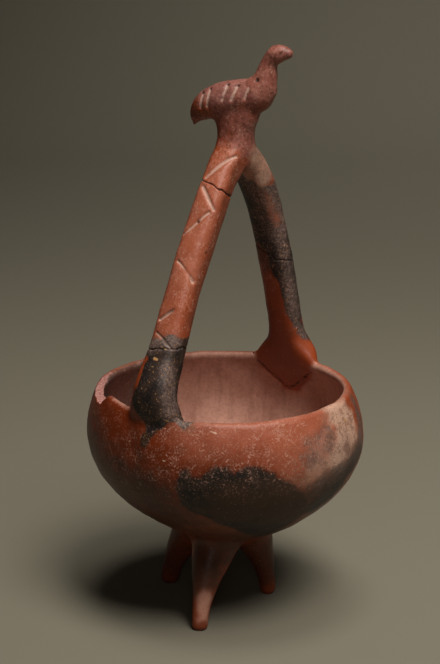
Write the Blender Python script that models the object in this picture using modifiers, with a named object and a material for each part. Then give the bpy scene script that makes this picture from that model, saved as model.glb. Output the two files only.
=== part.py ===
"""Round-bottomed bowl on three feet, with a tall basket handle and a bird on top, hand-built in red clay.

The whole vessel is one piece of fired clay, so it is one object. Metres, +Z up. The handle spans X and
the bird looks towards -Y. The origin is on the floor, under the middle of the bowl's widest ring.
"""

import math

import bmesh
import bpy
import numpy as np
from mathutils import Matrix, Vector
from mathutils.bvhtree import BVHTree

# The bowl: its widest radius, and how far the rim stands in from there
BODY_RADIUS = 0.0850
RIM_INTURN = 0.0068
RIM_RADIUS = BODY_RADIUS - RIM_INTURN

# Heights, from the floor up: the base of the bowl, its widest ring, its rim and the top of the handle
BASE_Z = 0.0430
BELLY_DEPTH = 0.0703
BODY_Z = BASE_Z + BELLY_DEPTH
SHOULDER_RISE = 0.0300
RIM_Z = BODY_Z + SHOULDER_RISE
HANDLE_RISE = 0.1627
HANDLE_TOP_Z = RIM_Z + HANDLE_RISE

# The bowl's section: how pointed its lower half is, and the thickness of its wall
BASE_TAPER = 1.42
WALL = 0.0054
FLOOR_WALL = 0.0085
TURN_STEPS = 60
LOWER_STEPS = 13
UPPER_STEPS = 5
LIP_STEPS = 4

# The bowl leans a little, and its rim was pulled up beside the left root of the handle
LEAN_ANGLE = math.radians(2.29)
LEAN_HEADING = math.radians(-56.5)
RIM_RISE = 0.0040
RIM_RISE_HEADING = math.radians(152)
RIM_RISE_SPREAD = math.radians(17)

# The broken stretch of the rim
BREAK_HEADING = math.radians(120.5)
BREAK_LENGTH = 0.0670
BREAK_DEPTH = 0.0036
BREAK_JAG = 0.0004
BREAK_STEPS = 14

# The feet: how far out each tip stands on the floor, in what direction, how full the foot is, and the radii
# of a foot
LEFT_FOOT_REACH = 0.0476
RIGHT_FOOT_REACH = 0.0301
BACK_FOOT_REACH = 0.0476
FEET = {
    "left": (LEFT_FOOT_REACH, math.radians(-166.1), 1.0),
    "right": (RIGHT_FOOT_REACH, math.radians(-31.8), 1.0),
    "back": (BACK_FOOT_REACH, math.radians(82.3), 1.22),
}
FOOT_TIP_RADIUS = 0.0049
FOOT_NECK_RADIUS = 0.0076
FOOT_TOP_RADIUS = 0.0150
FOOT_TIP_HEIGHT = 0.0045
FOOT_WORN = 0.0012
FOOT_SPLAY = 0.60
FOOT_SIDES = 14

# The handle: two legs in the plane y = 0, which join in a short stem under the bird
STEM_X = 0.0114
STEM_HEIGHT = 0.0140
STEM_Z = HANDLE_TOP_Z - STEM_HEIGHT
LEG_THICK = 0.0089
LEFT_LEG_WIDE = 0.0093
RIGHT_LEG_WIDE = 0.0101
LEG_SQUARENESS = 2.6
LEG_SIDES = 16
LEG_STEPS = 20
STEM_THICK = 0.0093
STEM_WIDE = 0.0099
STEM_FLARE = 0.0052

# How each leg bows off the straight line from its root to the stem: the largest bow, and pairs of a share
# of the height from the rim to the stem and a share of that bow
LEFT_BOW = 0.0077
LEFT_BOWS = ((0.93, -0.19), (0.86, -0.65), (0.64, -1.0), (0.43, -0.95), (0.21, -0.65), (0.07, -0.47))
RIGHT_BOW = 0.0117
RIGHT_BOWS = ((0.94, 0.07), (0.88, 0.55), (0.77, 0.89), (0.63, 1.0), (0.45, 0.76), (0.26, 0.44), (0.1, 0.03))

# The roots of the handle: each leg widens towards the rim, straddles the wall and has a pad inside. A
# higher power makes a leg widen later, in a tighter curve
LEFT_ROOT_FLARE = 0.0064
LEFT_FLARE_HEIGHT = 0.0530
LEFT_FLARE_POWER = 1.8
RIGHT_ROOT_FLARE = 0.0100
RIGHT_FLARE_HEIGHT = 0.0300
RIGHT_FLARE_POWER = 2.8
ROOT_LAP = 0.0160
PAD_WIDE = 0.0245
PAD_THICK = 0.0040
PAD_DROP = 0.0210
PAD_SIDES = 14

# The bird. Its places are pairs of s and z, as shares of its length: s runs from tail to head, with 0 over
# the stem, and z is the height over the top of the handle
BIRD_LENGTH = 0.0622
BIRD_HEADING = math.radians(-78)
BIRD_SLIM = 0.88
BIRD_SIDES = 16

# Incised strokes
STROKE_RADIUS = 0.0015
STROKE_DEPTH = 0.0010
STROKE_STEPS = 7


def clear_scene():
    for obj in list(bpy.data.objects):
        bpy.data.objects.remove(obj)


def smoothstep(low, high, value):
    t = np.clip((value - low) / (high - low), 0.0, 1.0)
    return t * t * (3 - 2 * t)


def spline(rows, count):
    """Rows on a smooth curve through the rows given, closer together towards both ends. It is a cubic whose
    slope at each row follows its neighbours, and it is measured along the first two numbers of a row."""
    rows = np.array(rows, float)
    at = np.concatenate([[0], np.cumsum(np.linalg.norm(np.diff(rows[:, :2], axis=0), axis=1))])
    slope = np.gradient(rows, at, axis=0)
    want = at[-1] * (1 - np.cos(np.linspace(0, math.pi, count))) / 2
    want = 0.7 * want + 0.3 * np.linspace(0, at[-1], count)
    i = np.clip(np.searchsorted(at, want, side="right") - 1, 0, len(at) - 2)
    gap = (at[i + 1] - at[i])[:, None]
    t = (want - at[i])[:, None] / gap
    start = (2 * t**3 - 3 * t**2 + 1) * rows[i] + (t**3 - 2 * t**2 + t) * gap * slope[i]
    end = (3 * t**2 - 2 * t**3) * rows[i + 1] + (t**3 - t**2) * gap * slope[i + 1]
    return start + end


def evaluated_mesh(obj):
    graph = bpy.context.evaluated_depsgraph_get()
    return bpy.data.meshes.new_from_object(obj.evaluated_get(graph))


def bake(obj):
    """Replaces an object's mesh by what its modifiers make of it."""
    mesh = evaluated_mesh(obj)
    obj.modifiers.clear()
    obj.data = mesh
    return obj


def curve_to_mesh(curve, collection):
    """The closed mesh of a curve whose ends are filled, as a new object."""
    source = bpy.data.objects.new(curve.name, curve)
    collection.objects.link(source)
    mesh = evaluated_mesh(source)
    shape = bmesh.new()
    shape.from_mesh(mesh)
    bmesh.ops.remove_doubles(shape, verts=shape.verts, dist=1e-6)
    bmesh.ops.recalc_face_normals(shape, faces=shape.faces)
    shape.to_mesh(mesh)
    shape.free()
    bpy.data.objects.remove(source)
    obj = bpy.data.objects.new(curve.name, mesh)
    collection.objects.link(obj)
    return obj


def tube(name, rows, sides, collection):
    """A round solid along a path. Each row is a point and the radius there."""
    rows = np.array(rows)
    curve = bpy.data.curves.new(name, "CURVE")
    curve.dimensions = "3D"
    curve.bevel_depth = 1.0
    curve.bevel_resolution = sides // 2 - 2
    curve.use_fill_caps = True
    path = curve.splines.new("POLY")
    path.points.add(len(rows) - 1)
    for point, row in zip(path.points, rows):
        point.co = (*row[:3], 1)
        point.radius = row[3]
    return curve_to_mesh(curve, collection)


def loft(name, rings, collection):
    """A closed solid through rings of equal point counts."""
    count, sides = rings.shape[:2]
    mesh = bpy.data.meshes.new(name)
    obj = bpy.data.objects.new(name, mesh)
    collection.objects.link(obj)
    shape = bmesh.new()
    rows = [[shape.verts.new(point) for point in ring] for ring in rings]
    for row, after in zip(rows, rows[1:]):
        for k in range(sides):
            nxt = (k + 1) % sides
            shape.faces.new((row[k], row[nxt], after[nxt], after[k]))
    shape.faces.new(rows[0][::-1])
    shape.faces.new(rows[-1])
    bmesh.ops.recalc_face_normals(shape, faces=shape.faces)
    shape.to_mesh(mesh)
    shape.free()
    return obj


def turned(name, profile, collection):
    """A profile of radius and height, turned about the Z axis."""
    mesh = bpy.data.meshes.new(name)
    points = [(radius, 0, height) for radius, height in profile]
    mesh.from_pydata(points, [(k, k + 1) for k in range(len(points) - 1)], [])
    obj = bpy.data.objects.new(name, mesh)
    collection.objects.link(obj)
    turn = obj.modifiers.new("Turn", "SCREW")
    turn.steps = turn.render_steps = TURN_STEPS
    turn.use_merge_vertices = True
    turn.merge_threshold = 0.0001
    return bake(obj)


def combine(target, others, operation):
    for other in others:
        step = target.modifiers.new(other.name, "BOOLEAN")
        step.operation = operation
        step.solver = "EXACT"
        step.object = other
        other.hide_render = True
        other.display_type = "WIRE"


def outer_profile():
    """Radius and height down the outside of the bowl, from where its lip starts to round over: an ellipse
    to the widest ring, and a tapering curve down to the base."""
    lip_z = RIM_Z - WALL / 2
    ellipse_height = (lip_z - BODY_Z) / math.sqrt(1 - (RIM_RADIUS / BODY_RADIUS) ** 2)
    rise = np.linspace(lip_z - BODY_Z, 0, UPPER_STEPS + 1)[:-1]
    turn = np.linspace(math.pi / 2, 0, LOWER_STEPS + 1)
    radius = np.append(np.sqrt(1 - (rise / ellipse_height) ** 2), np.sin(turn) ** BASE_TAPER)
    height = np.append(BODY_Z + rise, BODY_Z - (BODY_Z - BASE_Z) * np.cos(turn))
    return np.stack([radius * BODY_RADIUS, height], 1)


def wall_profile(share):
    """The outer profile moved into the wall, by a share of the wall's thickness."""
    outer = outer_profile()
    along = np.gradient(outer, axis=0)
    along /= np.linalg.norm(along, axis=1)[:, None]
    inward = np.stack([along[:, 1], -along[:, 0]], 1)
    inward[-1] = (0, 1)
    thick = FLOOR_WALL + (WALL - FLOOR_WALL) * smoothstep(0, BODY_RADIUS / 2, outer[:, 0])
    profile = outer + inward * thick[:, None] * share
    profile[-1, 0] = 0
    return profile


def wall_radius(height, share):
    """The radius of the wall at a height, between its outside (share 0) and its inside (share 1)."""
    profile = wall_profile(share)[::-1]
    return np.interp(height, profile[:, 1], profile[:, 0])


def lean_and_pull(obj):
    """Moves the points of the bowl as the potter's hands did: it leans a little and a stretch of its rim is
    pulled up."""
    points = np.empty(len(obj.data.vertices) * 3)
    obj.data.vertices.foreach_get("co", points)
    x, y, z = points.reshape(-1, 3).T
    away = np.angle(np.exp(1j * (np.arctan2(y, x) - RIM_RISE_HEADING)))
    shift = math.tan(LEAN_ANGLE) * (BODY_Z - z)
    x = x + shift * math.cos(LEAN_HEADING)
    y = y + shift * math.sin(LEAN_HEADING)
    z = z + RIM_RISE * np.exp(-((away / RIM_RISE_SPREAD) ** 2)) * smoothstep(BODY_Z, RIM_Z, z)
    obj.data.vertices.foreach_set("co", np.stack([x, y, z], 1).ravel())
    return obj


def make_bowl(collection):
    """Up the inside from the floor, over a round lip and down the outside."""
    outer, inner = wall_profile(0), wall_profile(1)
    centre = (outer[0] + inner[0]) / 2
    across = (outer[0] - inner[0]) / 2
    turn = np.linspace(math.pi, 0, LIP_STEPS + 1)[1:-1, None]
    lip = centre + across * np.cos(turn) + np.array([-across[1], across[0]]) * np.sin(turn)
    return lean_and_pull(turned("tripod_bowl", np.vstack([inner[::-1], lip, outer]), collection))


def make_wall_core(collection):
    """A plug that fills the bowl up to the middle of its wall. It trims what is stuck on from outside."""
    profile = np.vstack([(0, RIM_Z), (wall_radius(RIM_Z, 0.5), RIM_Z), wall_profile(0.5)[1:]])
    return lean_and_pull(turned("wall_core", profile, collection))


def make_foot(name, reach, heading, girth, core, collection):
    """A foot that leans inwards from its worn tip, widens upwards and ends inside the bowl's wall."""
    shift = math.tan(LEAN_ANGLE) * (BODY_Z - BASE_Z)
    base = np.array([math.cos(LEAN_HEADING), math.sin(LEAN_HEADING)]) * shift
    top = BASE_Z + FLOOR_WALL
    waist = (BASE_Z + FOOT_TIP_HEIGHT) / 2
    shape = [(-FOOT_WORN, FOOT_TIP_RADIUS * 0.25), (0, FOOT_TIP_RADIUS * 0.66)]
    shape += [(0.3 * FOOT_TIP_HEIGHT, FOOT_TIP_RADIUS * 0.90), (FOOT_TIP_HEIGHT, FOOT_TIP_RADIUS)]
    shape += [(0.55 * waist, FOOT_TIP_RADIUS * 1.12), (waist, FOOT_NECK_RADIUS)]
    shape += [(0.8 * BASE_Z, FOOT_NECK_RADIUS * 1.40), (BASE_Z, FOOT_NECK_RADIUS * 1.75)]
    shape += [(top, FOOT_TOP_RADIUS)]
    rows = []
    for height, radius in shape:
        share = height / top
        gather = FOOT_SPLAY * (0.25 * share + 0.75 * share**2)
        x, y = np.array([math.cos(heading), math.sin(heading)]) * reach * (1 - gather) + base * gather
        rows.append((x, y, height, radius * (girth + (1 - girth) * share)))
    foot = tube(f"foot_{name}", rows, FOOT_SIDES, collection)
    combine(foot, [core], "DIFFERENCE")
    return bake(foot)


def leg_rows(sign, wide, bow, bows, flare):
    """The path of one leg of the handle, from the stem down into the wall. Each row is x, z, half thickness
    and half width. sign is -1 for the left leg and 1 for the right leg. flare is how much wider the leg gets
    at the rim, from what height above the rim, and the power of its curve."""
    more, flare_height, power = flare
    root_x = sign * wall_radius(RIM_Z - WALL / 2, 0)
    rows = [(STEM_X, HANDLE_TOP_Z - WALL, LEG_THICK, wide)]
    for share, bend in ((1, 0), *bows):
        x = root_x + (STEM_X - root_x) * share + bow * bend
        z = RIM_Z + (STEM_Z - RIM_Z) * share
        widening = max(0.0, 1 - (z - RIM_Z) / flare_height) ** power
        rows.append((x, z, LEG_THICK, wide + more * widening))
    for share, thin, narrow in ((0, 0.98, 1.0), (0.45, 0.66, 0.85), (0.8, 0.38, 0.54), (1, 0.22, 0.26)):
        z = RIM_Z - ROOT_LAP * share
        x = sign * wall_radius(min(z, RIM_Z - WALL / 2), 0.45)
        rows.append((x, z, LEG_THICK * thin, (wide + more) * narrow))
    return rows


def sections(rows, sides, squareness):
    """A ring round each row of a path in the plane y = 0, from round to square by its squareness."""
    rows = np.array(rows)
    along = np.gradient(rows[:, :2], axis=0)
    along /= np.linalg.norm(along, axis=1)[:, None]
    angle = np.linspace(0, 2 * math.pi, sides, endpoint=False)
    cos = np.sign(np.cos(angle)) * np.abs(np.cos(angle)) ** (2 / squareness)
    sin = np.sign(np.sin(angle)) * np.abs(np.sin(angle)) ** (2 / squareness)
    x = rows[:, :1] - along[:, 1:] * rows[:, 2:3] * cos
    y = rows[:, 3:4] * sin
    z = rows[:, 1:2] + along[:, :1] * rows[:, 2:3] * cos
    return np.stack([x, y, z], 2)


def make_leg(name, sign, wide, bow, bows, flare, collection):
    """One leg of the handle. Towards its root it bends round with the bowl's wall."""
    rows = spline(leg_rows(sign, wide, bow, bows, flare), LEG_STEPS + 1)
    rings = sections(rows, LEG_SIDES, LEG_SQUARENESS)
    bend = smoothstep(RIM_Z + flare[1], RIM_Z, rings[..., 2])
    rings[..., 0] -= sign * bend * rings[..., 1] ** 2 / (2 * RIM_RADIUS)
    return loft(name, rings, collection)


def make_stem(collection):
    """The clay between the fork of the handle and the bird, which spreads under the bird's belly."""
    shape = ((-0.45, 0, 1), (0, 0.05, 1), (0.35, 0.22, 1), (0.65, 0.5, 1), (0.9, 0.82, 1), (1.12, 1, 0.97))
    rows = [
        (STEM_X, STEM_Z + STEM_HEIGHT * share, STEM_THICK * thick, STEM_WIDE + STEM_FLARE * flare)
        for share, flare, thick in (*shape, (1.52, 0.75, 0.85))
    ]
    return loft("stem", sections(rows, LEG_SIDES, 2.3), collection)


def make_pad(name, sign, collection):
    """The tongue of clay that was smeared down the inside of the wall under a root. It bends with the wall.
    A row of its shape is a share of the drop, of the thickness and of the width."""
    angle = np.linspace(0, 2 * math.pi, PAD_SIDES, endpoint=False)
    shape = (
        (0.10, 0.08, 0.72),
        (0.25, 0.85, 0.98),
        (0.40, 1.00, 0.88),
        (0.62, 0.85, 0.56),
        (0.85, 0.60, 0.26),
        (1.00, 0.20, 0.06),
    )
    rings = []
    for share, thick, wide in shape:
        z = RIM_Z - PAD_DROP * share
        middle = wall_radius(min(z, RIM_Z - WALL / 2), 0.85)
        radius = middle + PAD_THICK * thick * np.cos(angle)
        turn = PAD_WIDE * wide * np.sin(angle) / middle
        rings.append(np.stack([sign * radius * np.cos(turn), radius * np.sin(turn), z + 0 * angle], 1))
    return loft(name, np.array(rings), collection)


def bird_point(s, z, side=0.0):
    cos, sin = math.cos(BIRD_HEADING), math.sin(BIRD_HEADING)
    return (STEM_X + s * cos - side * sin, s * sin + side * cos, HANDLE_TOP_Z + z)


def bird_tube(name, rows, count, collection):
    """A round solid in the bird's own upright plane, made slimmer across it. A row is s, z and radius, as
    shares of the bird's length."""
    rows = [(*bird_point(s, z), radius) for s, z, radius in spline(rows, count) * BIRD_LENGTH]
    obj = tube(name, rows, BIRD_SIDES, collection)
    across = Vector((-math.sin(BIRD_HEADING), math.cos(BIRD_HEADING), 0))
    centre = Matrix.Translation(bird_point(0, 0))
    obj.data.transform(centre @ Matrix.Scale(BIRD_SLIM, 4, across) @ centre.inverted())
    return obj


def make_bird(collection):
    body = (
        (-0.431, -0.088, 0.016),
        (-0.408, -0.029, 0.068),
        (-0.322, 0.069, 0.133),
        (-0.169, 0.141, 0.170),
        (0.000, 0.182, 0.178),
        (0.145, 0.206, 0.167),
        (0.273, 0.241, 0.129),
        (0.346, 0.265, 0.048),
    )
    neck = (
        (0.137, 0.129, 0.113),
        (0.209, 0.217, 0.161),
        (0.265, 0.305, 0.143),
        (0.305, 0.394, 0.109),
        (0.326, 0.474, 0.093),
        (0.354, 0.559, 0.088),
        (0.415, 0.617, 0.088),
        (0.490, 0.635, 0.068),
        (0.555, 0.633, 0.039),
        (0.569, 0.632, 0.013),
    )
    return [
        bird_tube("bird_body", body, 13, collection),
        bird_tube("bird_neck", neck, 15, collection),
    ]


def break_cutter(collection):
    """A block over the broken stretch of rim. Its jagged underside is the line of the break, which deepens
    from one end and stops at a step at the other."""
    half = BREAK_LENGTH / 2
    top = 4 * RIM_RISE
    outline = [(half + BREAK_JAG, top), (-half, top)]
    for k in range(BREAK_STEPS + 1):
        share = k / BREAK_STEPS
        depth = BREAK_DEPTH * math.sin(math.pi / 2 * min(1.0, 1.8 * share))
        jag = BREAK_JAG * math.sin(2.4 * k) if 0 < k < BREAK_STEPS else 0
        outline.append((half * (2 * share - 1), jag - depth))
    curve = bpy.data.curves.new("break_cutter", "CURVE")
    curve.dimensions = "2D"
    curve.fill_mode = "BOTH"
    curve.extrude = 4 * WALL
    path = curve.splines.new("POLY")
    path.points.add(len(outline) - 1)
    path.use_cyclic_u = True
    for point, (x, y) in zip(path.points, outline):
        point.co = (x, y, 0, 1)
    cutter = curve_to_mesh(curve, collection)
    upright = Matrix.Rotation(math.pi / 2, 4, "X")
    turn = Matrix.Rotation(BREAK_HEADING + math.pi / 2, 4, "Z")
    out = Vector((math.cos(BREAK_HEADING), math.sin(BREAK_HEADING), 0)) * RIM_RADIUS
    cutter.data.transform(Matrix.Translation(out + Vector((0, 0, RIM_Z))) @ turn @ upright)
    return cutter


def groove(name, surface, ends, viewpoint, direction, collection):
    """A thin tube laid along the clay between two ends, which leaves a groove. The ends are seen along
    direction, and viewpoint turns a pair of numbers into the point that they are seen from."""
    rows = []
    for k in range(STROKE_STEPS):
        share = k / (STROKE_STEPS - 1)
        pair = np.array(ends[0]) * (1 - share) + np.array(ends[1]) * share
        place, normal, _, _ = surface.ray_cast(Vector(viewpoint(*pair)), Vector(direction))
        radius = STROKE_RADIUS * (0.45 + 0.55 * math.sin(math.pi * share))
        rows.append((*(place + normal * (STROKE_RADIUS - STROKE_DEPTH)), radius))
    return tube(name, rows, 8, collection)


def zigzag_cutters(leg, collection):
    """The slanting strokes down the outer face of the left leg, in turn to one side and the other. The
    missing ones are worn away. Each stroke is given by shares of the height from the rim to the stem."""
    surface = BVHTree.FromObject(leg, bpy.context.evaluated_depsgraph_get())
    heights = ((0.949, 0.873), (0.843, 0.764), (0.753, 0.662), (0.575, 0.505), (0.423, 0.362), (0.322, 0.256))
    sides = (-1, 1, -1, 1, -1, 1)
    cutters = []
    for k, (shares, side) in enumerate(zip(heights, sides)):
        top, bottom = (RIM_Z + (STEM_Z - RIM_Z) * share for share in shares)
        reach = LEFT_LEG_WIDE * 0.76 * side
        ends = ((reach, top), (-reach, bottom))
        far_left = -2 * BODY_RADIUS
        cutters.append(
            groove(f"zigzag_{k}", surface, ends, lambda y, z: (far_left, y, z), (1, 0, 0), collection)
        )
    return cutters


def wing_cutters(body, collection):
    """Five short strokes on each flank of the bird for its wing feathers."""
    surface = BVHTree.FromObject(body, bpy.context.evaluated_depsgraph_get())
    strokes = (
        ((-0.302, 0.209), (-0.315, 0.093)),
        ((-0.227, 0.251), (-0.241, 0.109)),
        ((-0.048, 0.299), (-0.080, 0.180)),
        ((0.058, 0.299), (0.013, 0.186)),
        ((0.177, 0.299), (0.150, 0.211)),
    )
    cutters = []
    for side in (-1, 1):
        away = side * BODY_RADIUS
        inwards = Vector(bird_point(0, 0)) - Vector(bird_point(0, 0, side))
        for k, ends in enumerate(strokes):
            name = f"wing_{'left' if side < 0 else 'right'}_{k}"
            ends = np.array(ends) * BIRD_LENGTH
            cutters.append(
                groove(name, surface, ends, lambda s, z: bird_point(s, z, away), inwards, collection)
            )
    return cutters


def floor_cutter(collection):
    """A block below the floor, which leaves a small flat under each foot."""
    mesh = bpy.data.meshes.new("floor_cutter")
    obj = bpy.data.objects.new("floor_cutter", mesh)
    collection.objects.link(obj)
    shape = bmesh.new()
    bmesh.ops.create_cube(shape, size=3 * BODY_RADIUS)
    bmesh.ops.translate(shape, verts=shape.verts, vec=(0, 0, -1.5 * BODY_RADIUS))
    shape.to_mesh(mesh)
    shape.free()
    return obj


def stand_at_origin(obj):
    """Centres an object's box over the origin, with its lowest face on the floor."""
    points = np.empty(len(obj.data.vertices) * 3)
    obj.data.vertices.foreach_get("co", points)
    points = points.reshape(-1, 3)
    low, high = points.min(0), points.max(0)
    points -= (*((low + high) / 2)[:2], low[2])
    obj.data.vertices.foreach_set("co", points.ravel())


def burnished_clay():
    material = bpy.data.materials.new("burnished_red_clay")
    material.use_nodes = True
    shader = material.node_tree.nodes["Principled BSDF"]
    shader.inputs["Base Color"].default_value = (0.27, 0.075, 0.04, 1)
    shader.inputs["Roughness"].default_value = 0.5
    shader.inputs["Metallic"].default_value = 0.0
    return material


def main():
    clear_scene()
    vessel = bpy.data.collections.new("tripod_bowl")
    helpers = bpy.data.collections.new("joined_and_cut_shapes")
    for collection in (vessel, helpers):
        bpy.context.scene.collection.children.link(collection)

    bowl = make_bowl(vessel)
    core = make_wall_core(helpers)
    feet = [make_foot(name, *foot, core, helpers) for name, foot in FEET.items()]
    flare = (LEFT_ROOT_FLARE, LEFT_FLARE_HEIGHT, LEFT_FLARE_POWER)
    left_leg = make_leg("leg_left", -1, LEFT_LEG_WIDE, LEFT_BOW, LEFT_BOWS, flare, helpers)
    flare = (RIGHT_ROOT_FLARE, RIGHT_FLARE_HEIGHT, RIGHT_FLARE_POWER)
    right_leg = make_leg("leg_right", 1, RIGHT_LEG_WIDE, RIGHT_BOW, RIGHT_BOWS, flare, helpers)
    pads = [make_pad("pad_left", -1, helpers), make_pad("pad_right", 1, helpers)]
    bird = make_bird(helpers)

    combine(bowl, [*feet, left_leg, right_leg, make_stem(helpers), *pads, *bird], "UNION")
    grooves = [*zigzag_cutters(left_leg, helpers), *wing_cutters(bird[0], helpers)]
    combine(bowl, [floor_cutter(helpers), break_cutter(helpers), *grooves], "DIFFERENCE")
    bake(bowl)
    stand_at_origin(bowl)
    bowl.data.materials.clear()
    bowl.data.materials.append(burnished_clay())
    bowl.data.shade_smooth()
    bowl.data.set_sharp_from_angle(angle=math.radians(35))


main()
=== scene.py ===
# %% [markdown]
# # A footed bowl of burnished red clay with a bird on its handle
#
# This vessel is one piece of fired clay, shaped by hand without a wheel. Its maker pinched and coiled a
# round bowl, set it on three cones of clay, bent two rolled strips into a handle and put a small bird where
# they meet. Wet fingers smeared the joints away, a smooth pebble burnished the red coat, and the fire left
# black clouds on it.
#
# The script follows the same order: the forms first, then the marks cut and broken into them, then the
# colours, then the light. The frame holds the plain solid, which says where everything is, in metres.

# %% Load the frame
import math

import bmesh
import bpy
import numpy as np
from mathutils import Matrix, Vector


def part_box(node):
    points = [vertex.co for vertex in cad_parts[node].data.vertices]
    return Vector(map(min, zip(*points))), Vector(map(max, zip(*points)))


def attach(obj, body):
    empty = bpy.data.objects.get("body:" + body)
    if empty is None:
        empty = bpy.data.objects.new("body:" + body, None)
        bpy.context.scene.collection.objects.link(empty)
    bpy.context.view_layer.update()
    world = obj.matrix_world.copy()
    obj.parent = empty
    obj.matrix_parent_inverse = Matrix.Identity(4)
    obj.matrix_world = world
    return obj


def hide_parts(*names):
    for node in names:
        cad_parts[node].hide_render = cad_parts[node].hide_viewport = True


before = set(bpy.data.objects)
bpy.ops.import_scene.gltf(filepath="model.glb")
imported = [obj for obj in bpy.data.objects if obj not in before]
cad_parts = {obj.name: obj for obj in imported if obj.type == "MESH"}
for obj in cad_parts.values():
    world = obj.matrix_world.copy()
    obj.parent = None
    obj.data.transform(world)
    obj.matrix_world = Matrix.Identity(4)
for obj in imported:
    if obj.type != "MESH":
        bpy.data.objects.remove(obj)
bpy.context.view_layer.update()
low, high = np.array(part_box("tripod_bowl"))
print("the solid is", np.round((high - low) * 1000, 1), "mm wide, deep and high")

# %% [markdown]
# ## The tools of the shapes
#
# Every form here is a row of rings along a path, or a wall along a line. Three small formulas serve them
# all: a soft step, a smooth curve through a few chosen rows, and the place on a path that is nearest to a
# point. They work on whole arrays, so that a hundred thousand points cost no more code than one.

# %% Soft step, smooth rows and the nearest place on a path
MM = 0.001


def smoothstep(start, stop, value):
    """0 before start, 1 after stop, and 3t^2 - 2t^3 between them, where t is the share of the way."""
    t = np.clip((value - start) / (stop - start), 0, 1)
    return t * t * (3 - 2 * t)


def spline(rows, count):
    """Rows on a smooth curve through the rows given, evenly spaced. Each stretch is the cubic that leaves
    and meets its ends at the slope of the rows on both sides."""
    rows = np.array(rows, float)
    at = np.concatenate([[0], np.cumsum(np.linalg.norm(np.diff(rows[:, :2], axis=0), axis=1))])
    slope = np.gradient(rows, at, axis=0)
    want = np.linspace(0, at[-1], count)
    i = np.clip(np.searchsorted(at, want, side="right") - 1, 0, len(at) - 2)
    gap = (at[i + 1] - at[i])[:, None]
    t = (want - at[i])[:, None] / gap
    leave = (2 * t**3 - 3 * t**2 + 1) * rows[i] + (t**3 - 2 * t**2 + t) * gap * slope[i]
    return leave + (3 * t**2 - 2 * t**3) * rows[i + 1] + (t**3 - t**2) * gap * slope[i + 1]


def nearest(points, path):
    """The nearest place on a path of straight steps, for each point: how far along it is, in steps, and the
    offset from it. On a step from a to b the nearest place is a + t(b - a), where t is (p - a).(b - a) over
    |b - a|^2, kept between 0 and 1."""
    start, step = path[:-1], np.diff(path, axis=0)
    length = np.maximum((step**2).sum(1), 1e-12)
    along, offset = np.empty(len(points)), np.empty(points.shape)
    for first in range(0, len(points), 4096):
        part = points[first : first + 4096]
        t = np.clip((part @ step.T - (start * step).sum(1)) / length, 0, 1)
        gap = part[:, None, :] - start - t[..., None] * step
        k = (gap**2).sum(2).argmin(1)
        row = np.arange(len(part))
        along[first : first + 4096] = k + t[row, k]
        offset[first : first + 4096] = gap[row, k]
    return along, offset


def values_at(along, values):
    """Rows' values at places along a path, evenly mixed between the rows on both sides."""
    return np.interp(along, np.arange(len(values)), values)


print("a soft step at a quarter, half and three quarters:", smoothstep(0, 1, np.array([0.25, 0.5, 0.75])))

# %% [markdown]
# ## The bowl's wall
#
# A round-bottomed bowl can be pinched from one lump and raised with coils. Its section is an ellipse above
# the widest ring and a tapering curve below it. A Screw modifier could turn that section, but the joints
# come out softer when the wall is known as a line down its middle and a thickness. The wall leans a little
# and its rim rises beside the left root of the handle, as an unaided hand leaves it.

# %% The section of the bowl
BODY_RADIUS, BODY_Z = 0.0850, 0.1133
RIM_RADIUS, RIM_Z = 0.0782, 0.1433
BASE_Z, BASE_TAPER = 0.0430, 1.42
WALL, FLOOR_WALL = 0.0054, 0.0085
LEAN, LEAN_HEADING = 0.040, math.radians(-56.5)
RIM_RISE, RIM_RISE_HEADING, RIM_RISE_SPREAD = 0.0040, math.radians(152), math.radians(17)


def outer_line(steps):
    """Radius and height down the outside: sqrt(1 - (z/h)^2) of the widest radius above the widest ring, and
    sin(t)^taper of it below, while the height falls as cos(t)."""
    lip_z = RIM_Z - WALL / 2
    ellipse_height = (lip_z - BODY_Z) / math.sqrt(1 - (RIM_RADIUS / BODY_RADIUS) ** 2)
    rise = np.linspace(lip_z - BODY_Z, 0, steps // 3 + 1)[:-1]
    turn = np.linspace(math.pi / 2, 0, steps)
    radius = np.append(np.sqrt(1 - (rise / ellipse_height) ** 2), np.sin(turn) ** BASE_TAPER)
    height = np.append(BODY_Z + rise, BODY_Z - (BODY_Z - BASE_Z) * np.cos(turn))
    return np.stack([radius * BODY_RADIUS, height], 1)


def wall_line(share, steps=90):
    """The outer line moved into the wall by a share of its thickness, and the thickness there."""
    outer = outer_line(steps)
    way = np.gradient(outer, axis=0)
    way /= np.linalg.norm(way, axis=1)[:, None]
    inward = np.stack([way[:, 1], -way[:, 0]], 1)
    inward[-1] = (0, 1)
    thick = FLOOR_WALL + (WALL - FLOOR_WALL) * smoothstep(0, BODY_RADIUS / 2, outer[:, 0])
    line = outer + inward * thick[:, None] * share
    line[-1, 0] = 0
    return line, thick


def rim_rise(heading, z):
    """How far the rim is pulled up: a bell curve round the bowl, which starts at the widest ring."""
    away = np.angle(np.exp(1j * (heading - RIM_RISE_HEADING)))
    return RIM_RISE * np.exp(-((away / RIM_RISE_SPREAD) ** 2)) * smoothstep(BODY_Z, RIM_Z, z)


def lean(points, way=1):
    """Leans an upright bowl (way 1), or sets it upright again (way -1)."""
    shift = way * LEAN * (BODY_Z - points[..., 2])
    moved = points.copy()
    moved[..., 0] += shift * math.cos(LEAN_HEADING)
    moved[..., 1] += shift * math.sin(LEAN_HEADING)
    heading = np.arctan2(moved[..., 1], moved[..., 0])
    moved[..., 2] += way * rim_rise(heading, points[..., 2])
    return moved


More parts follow.
